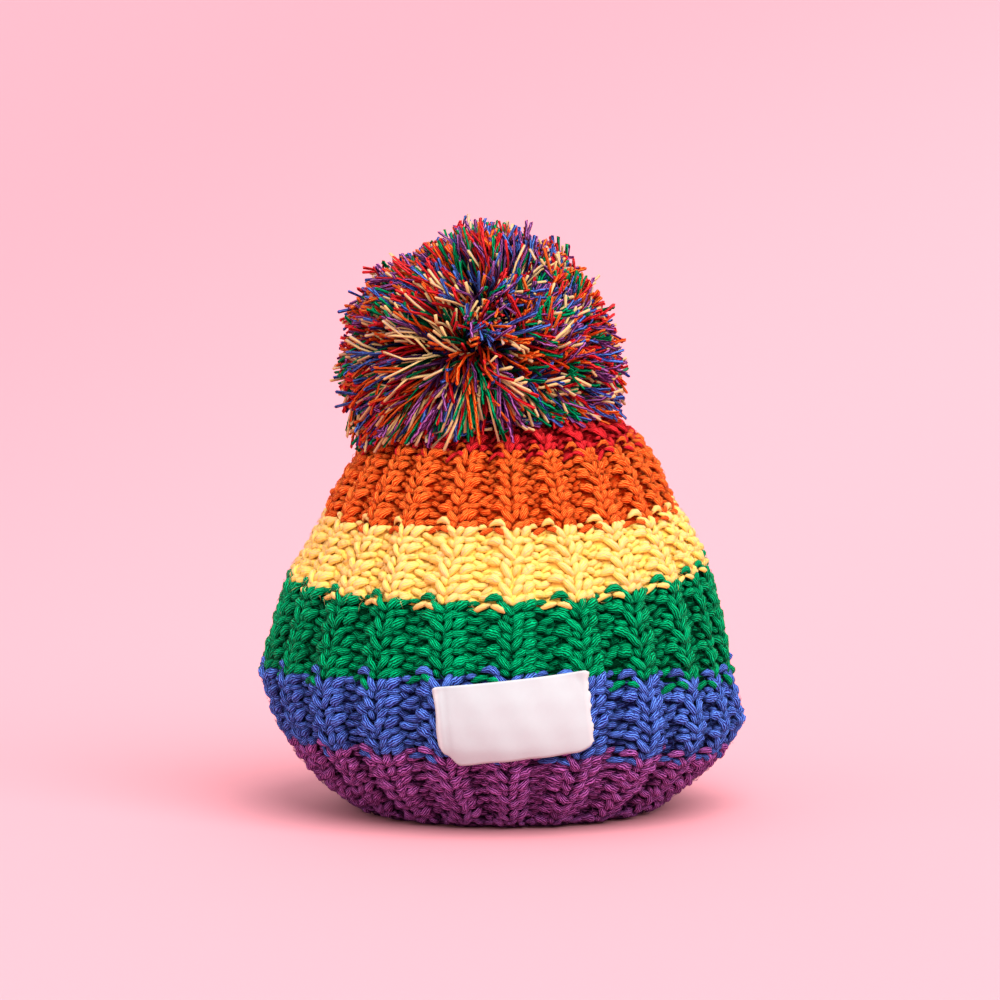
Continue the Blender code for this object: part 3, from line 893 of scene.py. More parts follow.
@dataclass(frozen=True)
class LooseFibres:
    """Fine hairs that stand off the knitted yarn."""

    number: int = 900
    long: tuple[float, float] = (2.5, 6.5)
    high: tuple[float, float] = (0.1, 1.1)
    arch: tuple[float, float] = (1.6, 3.6)  # radians of the sine that a hair's height follows
    curl: float = 1.2
    sunk: float = 0.6
    radius: float = 0.10
    rings: int = 3
    sides: int = 3
    # The hairs are drawn a little towards the bright colour: a painted highlight.
    shade: float = 0.25

    def grow(self, panel: "KnittedPanel", stripe: int, chance: Chance) -> Surface:
        """Grow the hairs of one stripe.

        A hair runs straight over the cloth in a random direction, with a
        slow sideways curl, and its height is the sine of half a turn and more.

        Args:
            panel: the panel that they grow on.
            stripe: number of the stripe.
            chance: where the places and curls come from.

        Returns:
            The surface of all the hairs.
        """
        form, count, ribs = panel.form, self.number, len(panel.form.ribs)
        rib = chance.uniform(-0.45, ribs - 0.55, count)
        cell = chance.uniform(form.starts[stripe], form.starts[stripe + 1] - 0.2, count)
        low, _high, width = form.local(cell, np.clip(np.round(rib), 0, ribs - 1.0), panel.spin)
        t = np.linspace(0.0, 1.0, self.rings)[None, :]
        start = chance.uniform(0.0, TURN, (count, 1))
        bearing = start + chance.normal(size=(count, 1)) * self.curl * t
        reach = chance.uniform(*self.long, (count, 1)) * t
        height = chance.uniform(*self.high, (count, 1))
        rise = height * np.sin(chance.uniform(*self.arch, (count, 1)) * t)
        line = np.stack((reach * np.cos(bearing), reach * np.sin(bearing), rise - self.sunk), -1)
        side = np.broadcast_to(np.array((0.7, 0.7, 0.0)) * self.radius, line.shape)
        out = np.broadcast_to(np.array((0.0, 0.0, 1.0)) * self.radius, line.shape)
        local, along = tubes(line, side, out, np.zeros(count), 0.0, self.sides)
        phase = form.on_panel(rib[:, None] + local[..., 0] / width[:, None])
        up = np.clip(low[:, None] + local[..., 1], 0.5, form.length)
        places = above_floor(form.point(phase, up, -local[..., 2], panel.spin))
        return tube_surface(places, along, self.rings, self.sides, reach[:, -1], self.shade)


@dataclass
class KnittedPanel:
    """One knitted panel: its ribbed ground, and the stitches on it stripe by stripe."""

    name: str
    spin: int
    form: CosyForm
    ground_depth: float = 2.9
    inside_depth: tuple[float, float] = (5.2, 7.2)
    hidden_cells: int = 2  # at the top, under the pompom
    columns: int = 6
    flat: tuple[float, float] = (0.283, 0.222)
    flat_area: float = 0.055
    fibres: LooseFibres = LooseFibres()

    def rim(self, line: Array, count: int, turned: bool) -> Array:
        """Quads from a line of outer points to the inner ones, whose numbers are count higher."""
        quads = np.stack((line[:-1], line[1:], line[1:] + count, line[:-1] + count), -1)
        return quads[:, ::-1] if turned else quads

    def ground(self, finishes: list[Material]) -> bpy.types.Object:
        """The ribbed sheet under the stitches: a closed wall whose rows follow the stripes.

        Args:
            finishes: the six finishes of its outer side, painted in the deep colour as shade, then
                the six of its inner side.

        Returns:
            The new object.
        """
        form, ribs, cell_count = self.form, len(self.form.ribs), self.form.starts[-1]
        phase = np.linspace(-0.5, ribs - 0.5, ribs * self.columns + 1)
        cells = np.linspace(0.0, cell_count, cell_count * 2 + 1)
        along = form.row(cells[:, None], (form.rib_turn(phase, 0.0) * self.spin)[None, :])
        along[0] = 0.4
        outer = form.point(phase, along, self.ground_depth, self.spin)
        crest_depth, valley_depth = self.inside_depth
        deep = crest_depth + (valley_depth - crest_depth) * 2.0 * np.abs(phase - np.round(phase))
        inner = form.point(phase, along, deep, self.spin, ribbed=False)
        rows, across = along.shape
        count = rows * across
        quads = grid_faces(rows, across)
        band = np.searchsorted(form.starts[1:], cells[:-1] + 0.25)
        slot = np.repeat(band, across - 1)
        number = np.arange(count).reshape(rows, across)
        borders = (number[0], number[-1], number[:, 0], number[:, -1])
        turned = (True, False, False, True)
        rims = [self.rim(line, count, turn) for line, turn in zip(borders, turned)]
        faces = [quads, quads[:, ::-1] + count, *rims]
        slots = [slot, slot + len(Yarn), 0, len(Yarn) - 1, band, band]
        u, v = np.broadcast_to(phase[None, :] * 2.4, along.shape), along / 10.0
        uv = np.tile(np.stack((u, v), -1).reshape(-1, 2), (2, 1))
        points = np.concatenate((outer.reshape(-1, 3), inner.reshape(-1, 3)))
        # The outer side is painted a little darker still, as shade.
        shade = np.repeat((-0.1, 0.0), count)
        surface = Surface(points, faces, [uv[f] for f in faces], slots, shade)
        return surface.piece(f"{self.name}_ground", finishes)

    def leaves(self, stripe: int) -> list[tuple[Leaf, Array, Array]]:
        """Every kind of leaf in one stripe's colour, with the ribs and cells it lies on."""
        ribs, starts = np.arange(len(self.form.ribs), dtype=float), self.form.starts
        last = min(starts[stripe + 1], starts[-1] - self.hidden_cells)
        cells = np.arange(starts[stripe], last, dtype=float)
        rib, cell = (values.ravel() for values in np.meshgrid(ribs, cells))
        first, lowest = cell == starts[stripe], stripe == 0
        last_rib, first_rib = rib == ribs[-1], rib == ribs[0]
        chosen = []
        for kind in Stitch:
            keep = np.ones(len(rib), bool)
            if kind in (Stitch.LEFT_LEG, Stitch.VALLEY_LONG) and not lowest:
                keep &= ~first
            if kind in (Stitch.VALLEY_LONG, Stitch.VALLEY_SHORT):
                keep &= ~last_rib
            if kind is Stitch.VALLEY_LEFT:
                keep &= ~first_rib
            chosen.append((kind.value, rib[keep], cell[keep]))
        if lowest:
            for kind in EdgeStitch.HEM_RIGHT, EdgeStitch.HEM_LEFT:
                for step in (-0.375, 0.125):
                    chosen.append((kind.value, ribs + step, np.zeros(len(ribs))))
        rows = np.arange(starts[stripe], last, 0.5)
        for side, kind in ((-0.46, EdgeStitch.SIDE_LEFT), (ribs[-1] + 0.46, EdgeStitch.SIDE_RIGHT)):
            chosen.append((kind.value, np.full(len(rows), side), rows))
        if not lowest:
            for kind in (JoinStitch.NEW_LEFT_DASH, JoinStitch.NEW_RIGHT_DASH, JoinStitch.NEW_LEG):
                keep = first & ~(first_rib & (kind is JoinStitch.NEW_LEFT_DASH))
                chosen.append((kind.value, rib[keep], cell[keep]))
        if stripe + 1 < len(self.form.cells):
            above = np.full(len(ribs), float(starts[stripe + 1]))
            chosen.append((JoinStitch.OLD_ARC.value, ribs, above))
            chosen.append((JoinStitch.OLD_DASH.value, ribs[:-1], above[:-1]))
        return chosen

    def stitches(self, stripe: int, yarn: Yarn, material: Material) -> bpy.types.Object:
        """All the stitches of one stripe, as one mesh of closed tubes."""
        chance = np.random.default_rng(100 * (2 + self.spin) + stripe)
        upper, lower = LeafBatch(self.form, self.spin), LeafBatch(self.form, self.spin, sides=6)
        parts = [
            (lower if leaf.under > 1.0 else upper).lay(leaf, rib, cell, chance)
            for leaf, rib, cell in self.leaves(stripe)
        ]
        return Surface.joined(parts).piece(f"{self.name}_{yarn.name.lower()}_stitches", [material])

    def build(self, finishes: Finishes, grounds: Finishes) -> None:
        ground = self.ground([*grounds.values(), *finishes.values()])
        stripes = [self.stitches(index, yarn, finishes[yarn]) for index, yarn in enumerate(Yarn)]
        chance = np.random.default_rng(50 + self.spin)
        for index, yarn in enumerate(Yarn):
            hairs = self.fibres.grow(self, index, chance)
            stripes.append(hairs.piece(f"{self.name}_{yarn.name.lower()}_hairs", [finishes[yarn]]))
        for piece in (ground, *stripes):
            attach(piece, "root")
        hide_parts(f"{self.name}_panel")


@dataclass
class SideSeams:
    """The sewing that joins the panels at both sides, each stripe in its own yarn.

    A thick strand runs up inside the seam, short stitches cross over it by
    turns, and both stop where a slit opens.
    """

    form: CosyForm
    pitch: float = 3.4
    reach: float = 2.7
    slant: float = 1.5
    stitch: tuple[float, float] = (2.7, 2.4)  # width and thickness
    # Painted shade: the stitches a little darker, and the strand inside the seam much darker.
    stitch_shade: float = -0.15
    strand: tuple[float, float] = (4.0, 3.4)  # width and thickness
    strand_shade: float = -0.4
    strand_under: float = 2.5
    strand_rings: int = 16
    overlap: float = 0.9
    sides: int = 8

    def runs(self, stripe: int, side: float) -> list[tuple[float, float]]:
        """From where to where up the cloth one stripe's seam is sewn at one side."""
        turn = np.array(side * 0.5 * np.pi)
        cells = self.form.starts[stripe:stripe + 2].astype(float)
        low, high = (float(self.form.row(cell, turn)) for cell in cells)
        slit = next(slit for slit in self.form.slits if slit[0] == side)
        bottom, top = self.form.along_at(np.array(slit[1:3]))
        parts = ((low, min(high, bottom)), (max(low, top), high))
        return [part for part in parts if part[1] - part[0] > 1.0]

    def surface(
        self, line: Array, side: float, size: tuple, taper: Array, length: Array, shade: float
    ) -> Surface:
        """Yarn along many lines by one seam.

        Args:
            line: (n, rings, 3) middle lines, in millimetres from the axis.
            side: -1 for the spout side, 1 for the handle side.
            size: width and thickness of the yarn.
            taper: (rings,) share of that size that each ring has.
            length: (n,) length of each line.
            shade: the shade of its points.

        Returns:
            The surface of all the yarns.
        """
        ahead = unit(np.gradient(line, axis=1))
        out = unit(np.cross(ahead, np.cross(np.array((side, 0.0, 0.25)), ahead)))
        half = 0.5 * taper[None, :, None]
        wide, thick = np.cross(out, ahead) * half * size[0], out * half * size[1]
        points, along = tubes(line, wide, thick, np.full(len(line), WIND), LOBE, self.sides)
        points = above_floor((points + AXIS) * MM)
        return tube_surface(points, along, line.shape[1], self.sides, length, shade)

    def sew(self, stripe: int, side: float, chance: Chance) -> list[Surface]:
        """Sew one stripe's seam at one side.

        A stitch crosses the seam along a straight slanting line, and its
        depth grows by the cube of the way from its middle.
        """
        made = []
        for low, high in self.runs(stripe, side):
            places = np.arange(low + 0.5 * self.pitch, high, self.pitch)
            count = len(places)
            if count:
                turns = np.where(np.arange(count) % 2, 1.0, -1.0)
                slant = self.slant * turns + 0.4 * chance.normal(size=count)
                along = places[:, None] + slant[:, None] * STEPS[None, :]
                spread = np.broadcast_to(STEPS * self.reach, along.shape)
                across = spread + 0.3 * chance.normal(size=(count, 1))
                under = 0.1 + 1.5 * np.abs(STEPS) ** 3 + 0.2 * chance.normal(size=(count, 1))
                line = self.form.seam(along, side, across, under)
                length = np.full(count, 2.0 * self.reach)
                made.append(self.surface(line, side, self.stitch, TAPER, length, self.stitch_shade))
            ends = max(low - self.overlap, 0.4), high + self.overlap
            along = np.linspace(*ends, self.strand_rings)[None, :]
            under = np.full_like(along, self.strand_under)
            line = self.form.seam(along, side, np.zeros_like(along), under)
            even, length = np.ones(self.strand_rings), np.array((high - low,))
            made.append(self.surface(line, side, self.strand, even, length, self.strand_shade))
        return made

    def build(self, finishes: Finishes) -> None:
        """Sew both seams, with one mesh for each yarn."""
        chance = np.random.default_rng(31)
        for stripe, yarn in enumerate(Yarn):
            made = [part for side in (-1.0, 1.0) for part in self.sew(stripe, side, chance)]
            name = f"seam_{yarn.name.lower()}_stitches"
            piece = Surface.joined(made).piece(name, [finishes[yarn]])
            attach(piece, "root")


# -------------------------------------------------------------- the label
@dataclass
class SewnLabel:
    """The bare label on the front, with worn corners, soft folds and a slightly frayed end."""

    form: CosyForm
    middle: tuple[float, float] = (3.8, 46.3)
    width: float = 58.6
    height: float = 29.8
    tilt: float = 6.1
    thick: float = 0.7
    clear: float = 0.55
    cut: tuple[float, float] = (7.5, 7.0)  # the lower left corner
    worn: tuple[float, float] = (7.5, 2.6)  # the lower right corner
    corner: float = 1.6
    fray: float = 0.30  # how far the threads of the right end stick out
    columns: int = 52
    rows: int = 34

    def outline(self, u: Array, v: Array) -> tuple[Array, Array]:
        """Places on the flat label, in millimetres from its middle.

        The corners are turned in as quarter rounds, the lower corners are cut
        by a power of the way to them, and the right end is frayed row by row.

        Args:
            u: how far across, from -0.5 to 0.5.
            v: how far up, from -0.5 to 0.5.

        Returns:
            How far across and how far up each point lies.
        """
        chance = np.random.default_rng(12)
        across, up = u * self.width, v * self.height
        inner = np.array((0.5 * self.width - self.corner, 0.5 * self.height - self.corner))
        past = np.stack((np.abs(across) - inner[0], np.abs(up) - inner[1]), -1).clip(0.0)
        far = np.maximum(np.hypot(past[..., 0], past[..., 1]), 1e-9)
        turned = past * (past.max(axis=-1) / far)[..., None]
        across = across + np.sign(across) * (turned - past)[..., 0]
        up = up + np.sign(up) * (turned - past)[..., 1]
        left, right = across + 0.5 * self.width, 0.5 * self.width - across
        step = 0.7 * smooth(left, 2.2, 3.2) * (1.0 - smooth(left, 3.6, 7.0))
        cut = self.cut[1] * (1.0 - left / self.cut[0]).clip(0.0, 1.0) ** 1.25 + step
        worn = self.worn[1] * (1.0 - right / self.worn[0]).clip(0.0, 1.0) ** 1.6
        up = up + (cut + worn) * (0.5 - v)
        threads = chance.uniform(-self.fray, self.fray, (self.rows, 1))
        wave = 0.22 * np.sin(v * 17.0) + 0.14 * np.sin(v * 41.0 + 1.0)
        right_end = smooth(u, 0.47, 0.5) * (threads + wave)
        left_end = smooth(-u, 0.47, 0.5) * 0.25 * np.sin(v * 9.0 + 0.6)
        return across + right_end + left_end, up

    def lift(self, u: Array, v: Array, across: Array, up: Array) -> Array:
        """How far it stands off: soft waves, curled upper corners and two pressed folds."""
        wave = 0.25 * (1.0 + np.sin(across * 0.42) * np.cos(up * 0.2))
        fold = 0.45 * bell(across + 0.35 * up, 29.6, 0.9) * smooth(up, 2.0, 13.0)
        crease = 0.35 * bell(across, -25.4, 1.0) + fold
        curled = 0.9 * smooth(u + v, 0.82, 1.0) + 0.6 * smooth(v - u, 0.86, 1.0)
        return self.clear + wave + (curled - 0.3 * smooth(-u, 0.44, 0.5) - crease).clip(-0.4)

    def build(self, material: Material) -> bpy.types.Object:
        """Make the label: a grid bent over the front's outline, with a back and a rim."""
        share = np.linspace(-0.5, 0.5, self.columns)
        share = share * (1.0 + 0.35 * (0.25 - share * share))
        u, v = np.meshgrid(share, np.linspace(-0.5, 0.5, self.rows))
        across, up = self.outline(u, v)
        tilt = math.radians(self.tilt)
        x = self.middle[0] + across * math.cos(tilt) - up * math.sin(tilt)
        z = self.middle[1] + across * math.sin(tilt) + up * math.cos(tilt)
        along = self.form.along_at(z)
        zero = np.zeros_like(along)
        radius, _height = self.form.crest(along, zero)
        radial, upward = self.form.outward(along, zero)
        turn, inner = x / radius, self.lift(u, v, across, up)
        sides = []
        for out in (inner + self.thick, inner):
            r = radius + out * radial
            y = -r * np.cos(turn) - 0.5 * self.form.gap
            sides.append((np.stack((r * np.sin(turn), y, z + out * upward), -1) + AXIS) * MM)
        count = self.rows * self.columns
        number = np.arange(count).reshape(self.rows, self.columns)
        quads = grid_faces(self.rows, self.columns)
        loop = np.concatenate((number[0], number[1:, -1], number[-1, -2::-1], number[-2:0:-1, 0]))
        after = np.roll(loop, -1)
        rim = np.stack((loop + count, after + count, after, loop), -1)
        faces = [quads, quads[:, ::-1] + count, rim]
        uv = np.tile(np.stack((across, up), -1).reshape(-1, 2), (2, 1))
        points = np.concatenate([side.reshape(-1, 3) for side in sides])
        piece = Surface(points, faces, [uv[f] for f in faces]).piece("label_cloth", [material])
        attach(piece, "root")
        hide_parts("label")
        return piece


# ------------------------------------------------------------- the pompom
def heading(turn: float, up: float) -> Array:
    """A direction from degrees round from the front and degrees up."""
    turn, up = math.radians(turn), math.radians(up)
    return np.array((math.sin(turn) * math.cos(up), -math.cos(turn) * math.cos(up), math.sin(up)))


@dataclass(frozen=True)
class Tuft:
    """A part of the pompom whose strands fan out together.

    Attributes:
        middle: where the tuft is: degrees round from the front, degrees up.
        reach: how far it reaches, in degrees.
        source: the place that its strands lean away from.
        lean: how far they lean.
        long: how long they are against the others.
        upright: how far from the source, in degrees, they hardly lean.
    """

    middle: tuple[float, float]
    reach: float
    source: tuple[float, float]
    lean: float
    long: float = 1.0
    upright: float = 20.0


class FrontTuft(Enum):
    """The tufts that show from the front."""

    TOP = Tuft((-2.0, 60.0), 44.0, (2.0, 22.0), 0.50, 0.99)
    UPPER_LEFT = Tuft((-48.0, 30.0), 34.0, (-4.0, 12.0), 0.64, 0.98, 8.0)
    LOWER_LEFT = Tuft((-34.0, -10.0), 34.0, (-6.0, 19.0), 0.72, 1.00, 8.0)
    BOTTOM = Tuft((8.0, -36.0), 24.0, (8.0, -6.0), 0.34, 1.00, 16.0)
    CLUSTER = Tuft((20.0, 2.0), 22.0, (-14.0, 26.0), 0.16, 0.98)
    RIGHT = Tuft((54.0, 22.0), 36.0, (10.0, 10.0), 0.56, 1.00, 22.0)
    LOWER_RIGHT = Tuft((56.0, -18.0), 28.0, (24.0, 2.0), 0.42, 1.01, 16.0)


class BackTuft(Enum):
    """The tufts that show from behind."""

    LEFT = Tuft((118.0, 12.0), 38.0, (150.0, -4.0), 0.34, 1.00)
    LOW = Tuft((176.0, -28.0), 34.0, (188.0, 12.0), 0.36, 1.00)
    RIGHT = Tuft((-126.0, 4.0), 38.0, (-160.0, 24.0), 0.36, 0.99)
    HIGH = Tuft((170.0, 50.0), 36.0, (196.0, 22.0), 0.32, 1.00)
    MIDDLE = Tuft((172.0, 10.0), 22.0, (130.0, 40.0), 0.16, 0.99)


@dataclass
class Ends:
    """The pompom's cut ends of yarn, or the strands that they fray into.

    Attributes:
        ways: (n, 3) directions in which they leave the heart.
        tips: (n, 3) directions from the middle to their tips.
        trim: (n,) how long each is against the trimmed ball.
        yarn: (n,) number of its yarn.
        wave: (n, 2, 3) starts of its two curls.
    """

    ways: Array
    tips: Array
    trim: Array
    yarn: Array
    wave: Array


@dataclass
class Pompom:
    """A wound and trimmed pompom of the six yarns, with tufts and small partings.

    Attributes:
        partings: small places that strands lean away from: degrees round from
            the front, degrees up, how far they lean and the reach in degrees.
        hollows: small places where the strands are shorter: degrees round,
            degrees up, by how much and the reach in degrees.
        shares: how much of each yarn is wound in, from the hem's yarn up.
        ends: how many cut ends of yarn stand out of the heart.
        plies: how many strands each end frays into.
        fray: how far an end's strands differ in where they start, where
            they point, how they curl and how long they are.
        clumps: how many small bunches the ends stick together in.
        gather: how far a strand's tip moves to its bunch's.
        stagger: how far the bunches' own tips and lengths differ.
    """

    STRAND = (0.0, 0.28, 0.53, 0.77, 0.985, 1.0)  # the share of a strand before each ring
    SWELL = (1.0, 0.8, 0.95, 1.05, 1.25, 1.0)  # a strand's size at each ring

    form: CosyForm
    middle: Array = field(default_factory=lambda: np.array((-8.1, 0.0, 171.0)))
    radii: Array = field(default_factory=lambda: np.array((54.2, 54.2, 53.3)))
    low: float = 40.0
    powers: tuple[float, float] = (1.80, 2.1)
    core: float = 0.58
    ends: int = 8300
    plies: int = 2
    thick: float = 0.56
    sides: int = 3
    fan: float = 66.0  # degrees from its source where a tuft's lean fades
    partings: tuple = (
        (5.0, 12.0, 0.30, 10.0), (3.0, -9.0, 0.40, 12.0), (26.0, 2.0, 0.26, 11.0),
        (-22.0, 13.0, 0.16, 12.0), (-38.0, 12.0, 0.20, 13.0), (-62.0, -14.0, 0.20, 14.0),
        (8.0, 43.0, 0.14, 16.0), (100.0, 28.0, 0.20, 24.0), (-110.0, 4.0, 0.20, 24.0),
        (150.0, 2.0, 0.20, 13.0), (196.0, 30.0, 0.20, 14.0), (208.0, -18.0, 0.18, 14.0),
    )
    hollows: tuple = (
        (15.0, 4.0, 0.26, 6.0), (4.0, -13.0, 0.24, 6.0), (-23.0, 15.0, 0.22, 6.0),
        (28.0, -19.0, 0.22, 6.0), (51.0, -10.0, 0.18, 6.0), (10.0, 27.0, 0.16, 6.0),
        (-26.0, 38.0, 0.14, 6.0), (-58.0, 12.0, 0.14, 6.0), (38.0, 34.0, 0.14, 6.0),
        (-46.0, -20.0, 0.12, 6.0), (98.0, 18.0, 0.20, 7.0), (128.0, -10.0, 0.18, 7.0),
        (150.0, 32.0, 0.18, 7.0), (178.0, 6.0, 0.22, 7.0), (204.0, -16.0, 0.18, 7.0),
        (216.0, 26.0, 0.18, 7.0), (248.0, 4.0, 0.20, 7.0), (276.0, 34.0, 0.16, 7.0),
        (80.0, 48.0, 0.16, 7.0), (0.0, 84.0, 0.14, 7.0),
    )
    shares: tuple[float, ...] = (0.170, 0.130, 0.165, 0.155, 0.165, 0.215)
    fray: tuple[float, float, float, float] = (0.020, 0.050, 0.60, 0.06)
    clumps: int = 420
    gather: float = 0.45
    stagger: tuple[float, float] = (0.14, 0.038)
    eye: tuple[float, float] = (10.0, 13.0)  # where tips are most unruly: degrees round, up
    unruly: tuple[float, float, float] = (0.060, 0.15, 0.14)  # all tips, at the eye, strays
    strays: float = 0.03  # share of the ends that stand off from the rest
    clear: tuple[float, float] = (0.9, 1.2)  # over the crown: at least, and by chance
    tuft_waves: Array = field(default_factory=lambda: np.array((5.0, 6.5, 5.7)))
    tuft_starts: Array = field(default_factory=lambda: np.array((0.4, 2.1, 4.4)))

    def ways(self, count: int, chance: Chance) -> Array:
        """Even directions over a ball, from a spiral, each moved a little."""
        index = np.arange(count) + 0.5
        up = 1.0 - 2.0 * index / count
        turn = index * math.pi * (3.0 - math.sqrt(5.0))
        level = np.sqrt(1.0 - up * up)
        ways = np.stack((level * np.cos(turn), level * np.sin(turn), up), -1)
        return unit(ways + 0.035 * chance.normal(size=ways.shape))

    def lean(self, ways: Array) -> tuple[Array, Array]:
        """Which way the strands' tips point, and how long the strands are.

        Each tuft's pull is its direction away from its source, weighted by
        its share at that place: a bell of the angle from the tuft's middle,
        raised to a power so that tufts part where they meet.

        Args:
            ways: (n, 3) directions that the strands start in.

        Returns:
            The tips' directions, and the length of each strand against the others.
        """
        tufts = [kind.value for kind in (*FrontTuft, *BackTuft)]
        middles = np.array([heading(*tuft.middle) for tuft in tufts])
        reaches = np.array([tuft.reach for tuft in tufts])
        angle = np.degrees(np.arccos((ways @ middles.T).clip(-1.0, 1.0))) / reaches
        weight = np.exp(-3.0 * angle ** 2) + 1e-12
        weight /= weight.sum(axis=1, keepdims=True)
        lean, long = ways.copy(), np.zeros(len(ways))
        for tuft, share in zip(tufts, weight.T):
            off = ways - heading(*tuft.source)
            away = np.linalg.norm(off, axis=-1, keepdims=True)
            pull = share[:, None] * tuft.lean * off / np.maximum(away, 1e-6)
            rising = 1.0 - bell(away, 0.0, chord(tuft.upright))
            lean += pull * bell(away, 0.0, chord(self.fan)) * rising
            long += share * tuft.long
        for turn, up, strength, reach in self.partings:
            off = ways - heading(turn, up)
            away = np.linalg.norm(off, axis=-1, keepdims=True)
            lean += strength * off / np.maximum(away, 0.05) * bell(away, 0.0, chord(reach))
        for turn, up, depth, reach in self.hollows:
            off = ways - heading(turn, up)
            long -= depth * np.exp(-(off * off).sum(axis=-1) / chord(reach) ** 2)
        waves, starts = self.tuft_waves, self.tuft_starts
        lean += 0.13 * np.sin(waves * ways[:, [1, 2, 0]] + starts)
        lean += 0.11 * np.sin(2.1 * waves * ways[:, [2, 0, 1]] + starts[::-1])
        lean += 0.07 * np.sin(4.7 * waves * ways + starts)
        return unit(lean), long

    def trimmed(self, ways: Array) -> Array:
        """Distance to the trimmed surface: a superellipsoid, rounder above than below."""
        power = np.where(ways[..., 2] > 0.0, *self.powers)
        level = np.hypot(ways[..., 0] / self.radii[0], ways[..., 1] / self.radii[1])
        high = np.abs(ways[..., 2]) / np.where(ways[..., 2] > 0.0, self.radii[2], self.low)
        return (level ** power + high ** power) ** (-1.0 / power)

    def cut(self, chance: Chance) -> Ends:
        """Cut the ends of yarn: each leans with its tuft and its bunch, and a few stray."""
        ways = self.ways(self.ends, chance)
        tips, long = self.lean(ways)
        count, (tip_off, long_off) = len(ways), self.stagger
        bunches = unit(self.ways(self.clumps, chance) + 0.05 * chance.normal(size=(self.clumps, 3)))
        bunch = np.argmax(ways @ bunches.T, axis=1)
        bunch_tips = unit(self.lean(bunches)[0] + tip_off * chance.normal(size=bunches.shape))
        tips = unit(tips * (1.0 - self.gather) + bunch_tips[bunch] * self.gather)
        long = long + (long_off * chance.normal(size=self.clumps).clip(-2.0, 1.2))[bunch]
        stray = chance.random(count) < self.strays
        plain, inner, far = self.unruly
        inner = plain + inner * bell(ways @ heading(*self.eye), 1.0, 0.05)
        tips = unit(tips + chance.normal(size=tips.shape) * np.where(stray, far, inner)[:, None])
        lumps = 0.026 * np.sin(self.tuft_waves * tips + self.tuft_starts).sum(axis=-1)
        trim = long + lumps - 0.17 * chance.random(count) ** 1.2
        trim = trim + np.where(stray, 0.03 * chance.random(count), 0.0)
        yarn = chance.choice(len(self.shares), count, p=self.shares)
        return Ends(ways, tips, trim, yarn, chance.uniform(0.0, 6.3, (count, 2, 3)))

    def frayed(self, cut: Ends, chance: Chance) -> Ends:
        """The strands that the cut ends fray into."""
        ways, tips, trim, yarn, wave = (
            np.repeat(values, self.plies, axis=0)
            for values in (cut.ways, cut.tips, cut.trim, cut.yarn, cut.wave)
        )
        ways = unit(ways + self.fray[0] * chance.normal(size=ways.shape))
        tips = unit(tips + self.fray[1] * chance.normal(size=tips.shape))
        wave = wave + self.fray[2] * chance.normal(size=wave.shape)
        return Ends(ways, tips, trim - self.fray[3] * chance.random(len(trim)), yarn, wave)

    def grow(self, chance: Chance) -> tuple[Array, Array, Array]:
        """Grow all the strands.

        A strand starts at the core, runs out in its own direction and turns
        towards its tip's as a power of the way; its distance from the
        middle is a share of the trimmed ball in the direction it then has.
        Those that point down are longer and hang over the knitted crown.

        Returns:
            The middle lines (n, rings, 3) in millimetres, and the yarn number
            and radius of each.
        """
        ends = self.frayed(self.cut(chance), chance)
        count, tips = len(ends.tips), ends.tips
        hang = smooth(-tips[:, 2], 0.10, 0.50) * (1.0 - 0.35 * smooth(tips[:, 0], 0.1, 0.7))
        t = np.array(self.STRAND)
        bend = (t ** 1.7)[None, :, None]
        turned = unit(ends.ways[:, None] * (1.0 - bend) + tips[:, None] * bend)
        inside = self.core * 0.9
        share = (inside + (1.0 - inside) * t ** 0.72)[None, :] * (ends.trim + 0.03 * hang)[:, None]
        line = self.middle + turned * (self.trimmed(turned) * share)[..., None]
        line[..., 2] -= (10.0 * hang)[:, None] * (t ** 2)[None, :]
        start, speed = ends.wave[:, :1], ends.wave[:, 1:]
        way = t[None, :, None]
        curl = np.sin(start + (2.0 + 0.5 * speed) * way) + 0.32 * np.sin(speed + 8.0 * way)
        line = line + 2.0 * curl * way ** 0.5
        least, more = self.clear
        floor = self.crown(line) + least + more * chance.random((count, 1))
        line[..., 2] = np.maximum(line[..., 2], floor)
        level = np.hypot(line[:, -1, 0], line[:, -1, 1])
        keep = (level > 24.0) | (line[:, -1, 2] > self.middle[2])
        radius = self.thick * (0.85 + 0.35 * chance.random(count))
        return line[keep], ends.yarn[keep], radius[keep]

    def crown(self, line: Array) -> Array:
        """Height of the knitted crown under a place."""
        level = np.hypot(line[..., 0], line[..., 1])
        top = int(np.argmax(self.form.outline[:, 2]))
        rows = self.form.outline[top:][::-1]
        return np.interp(level, rows[:, 2], rows[:, 0])

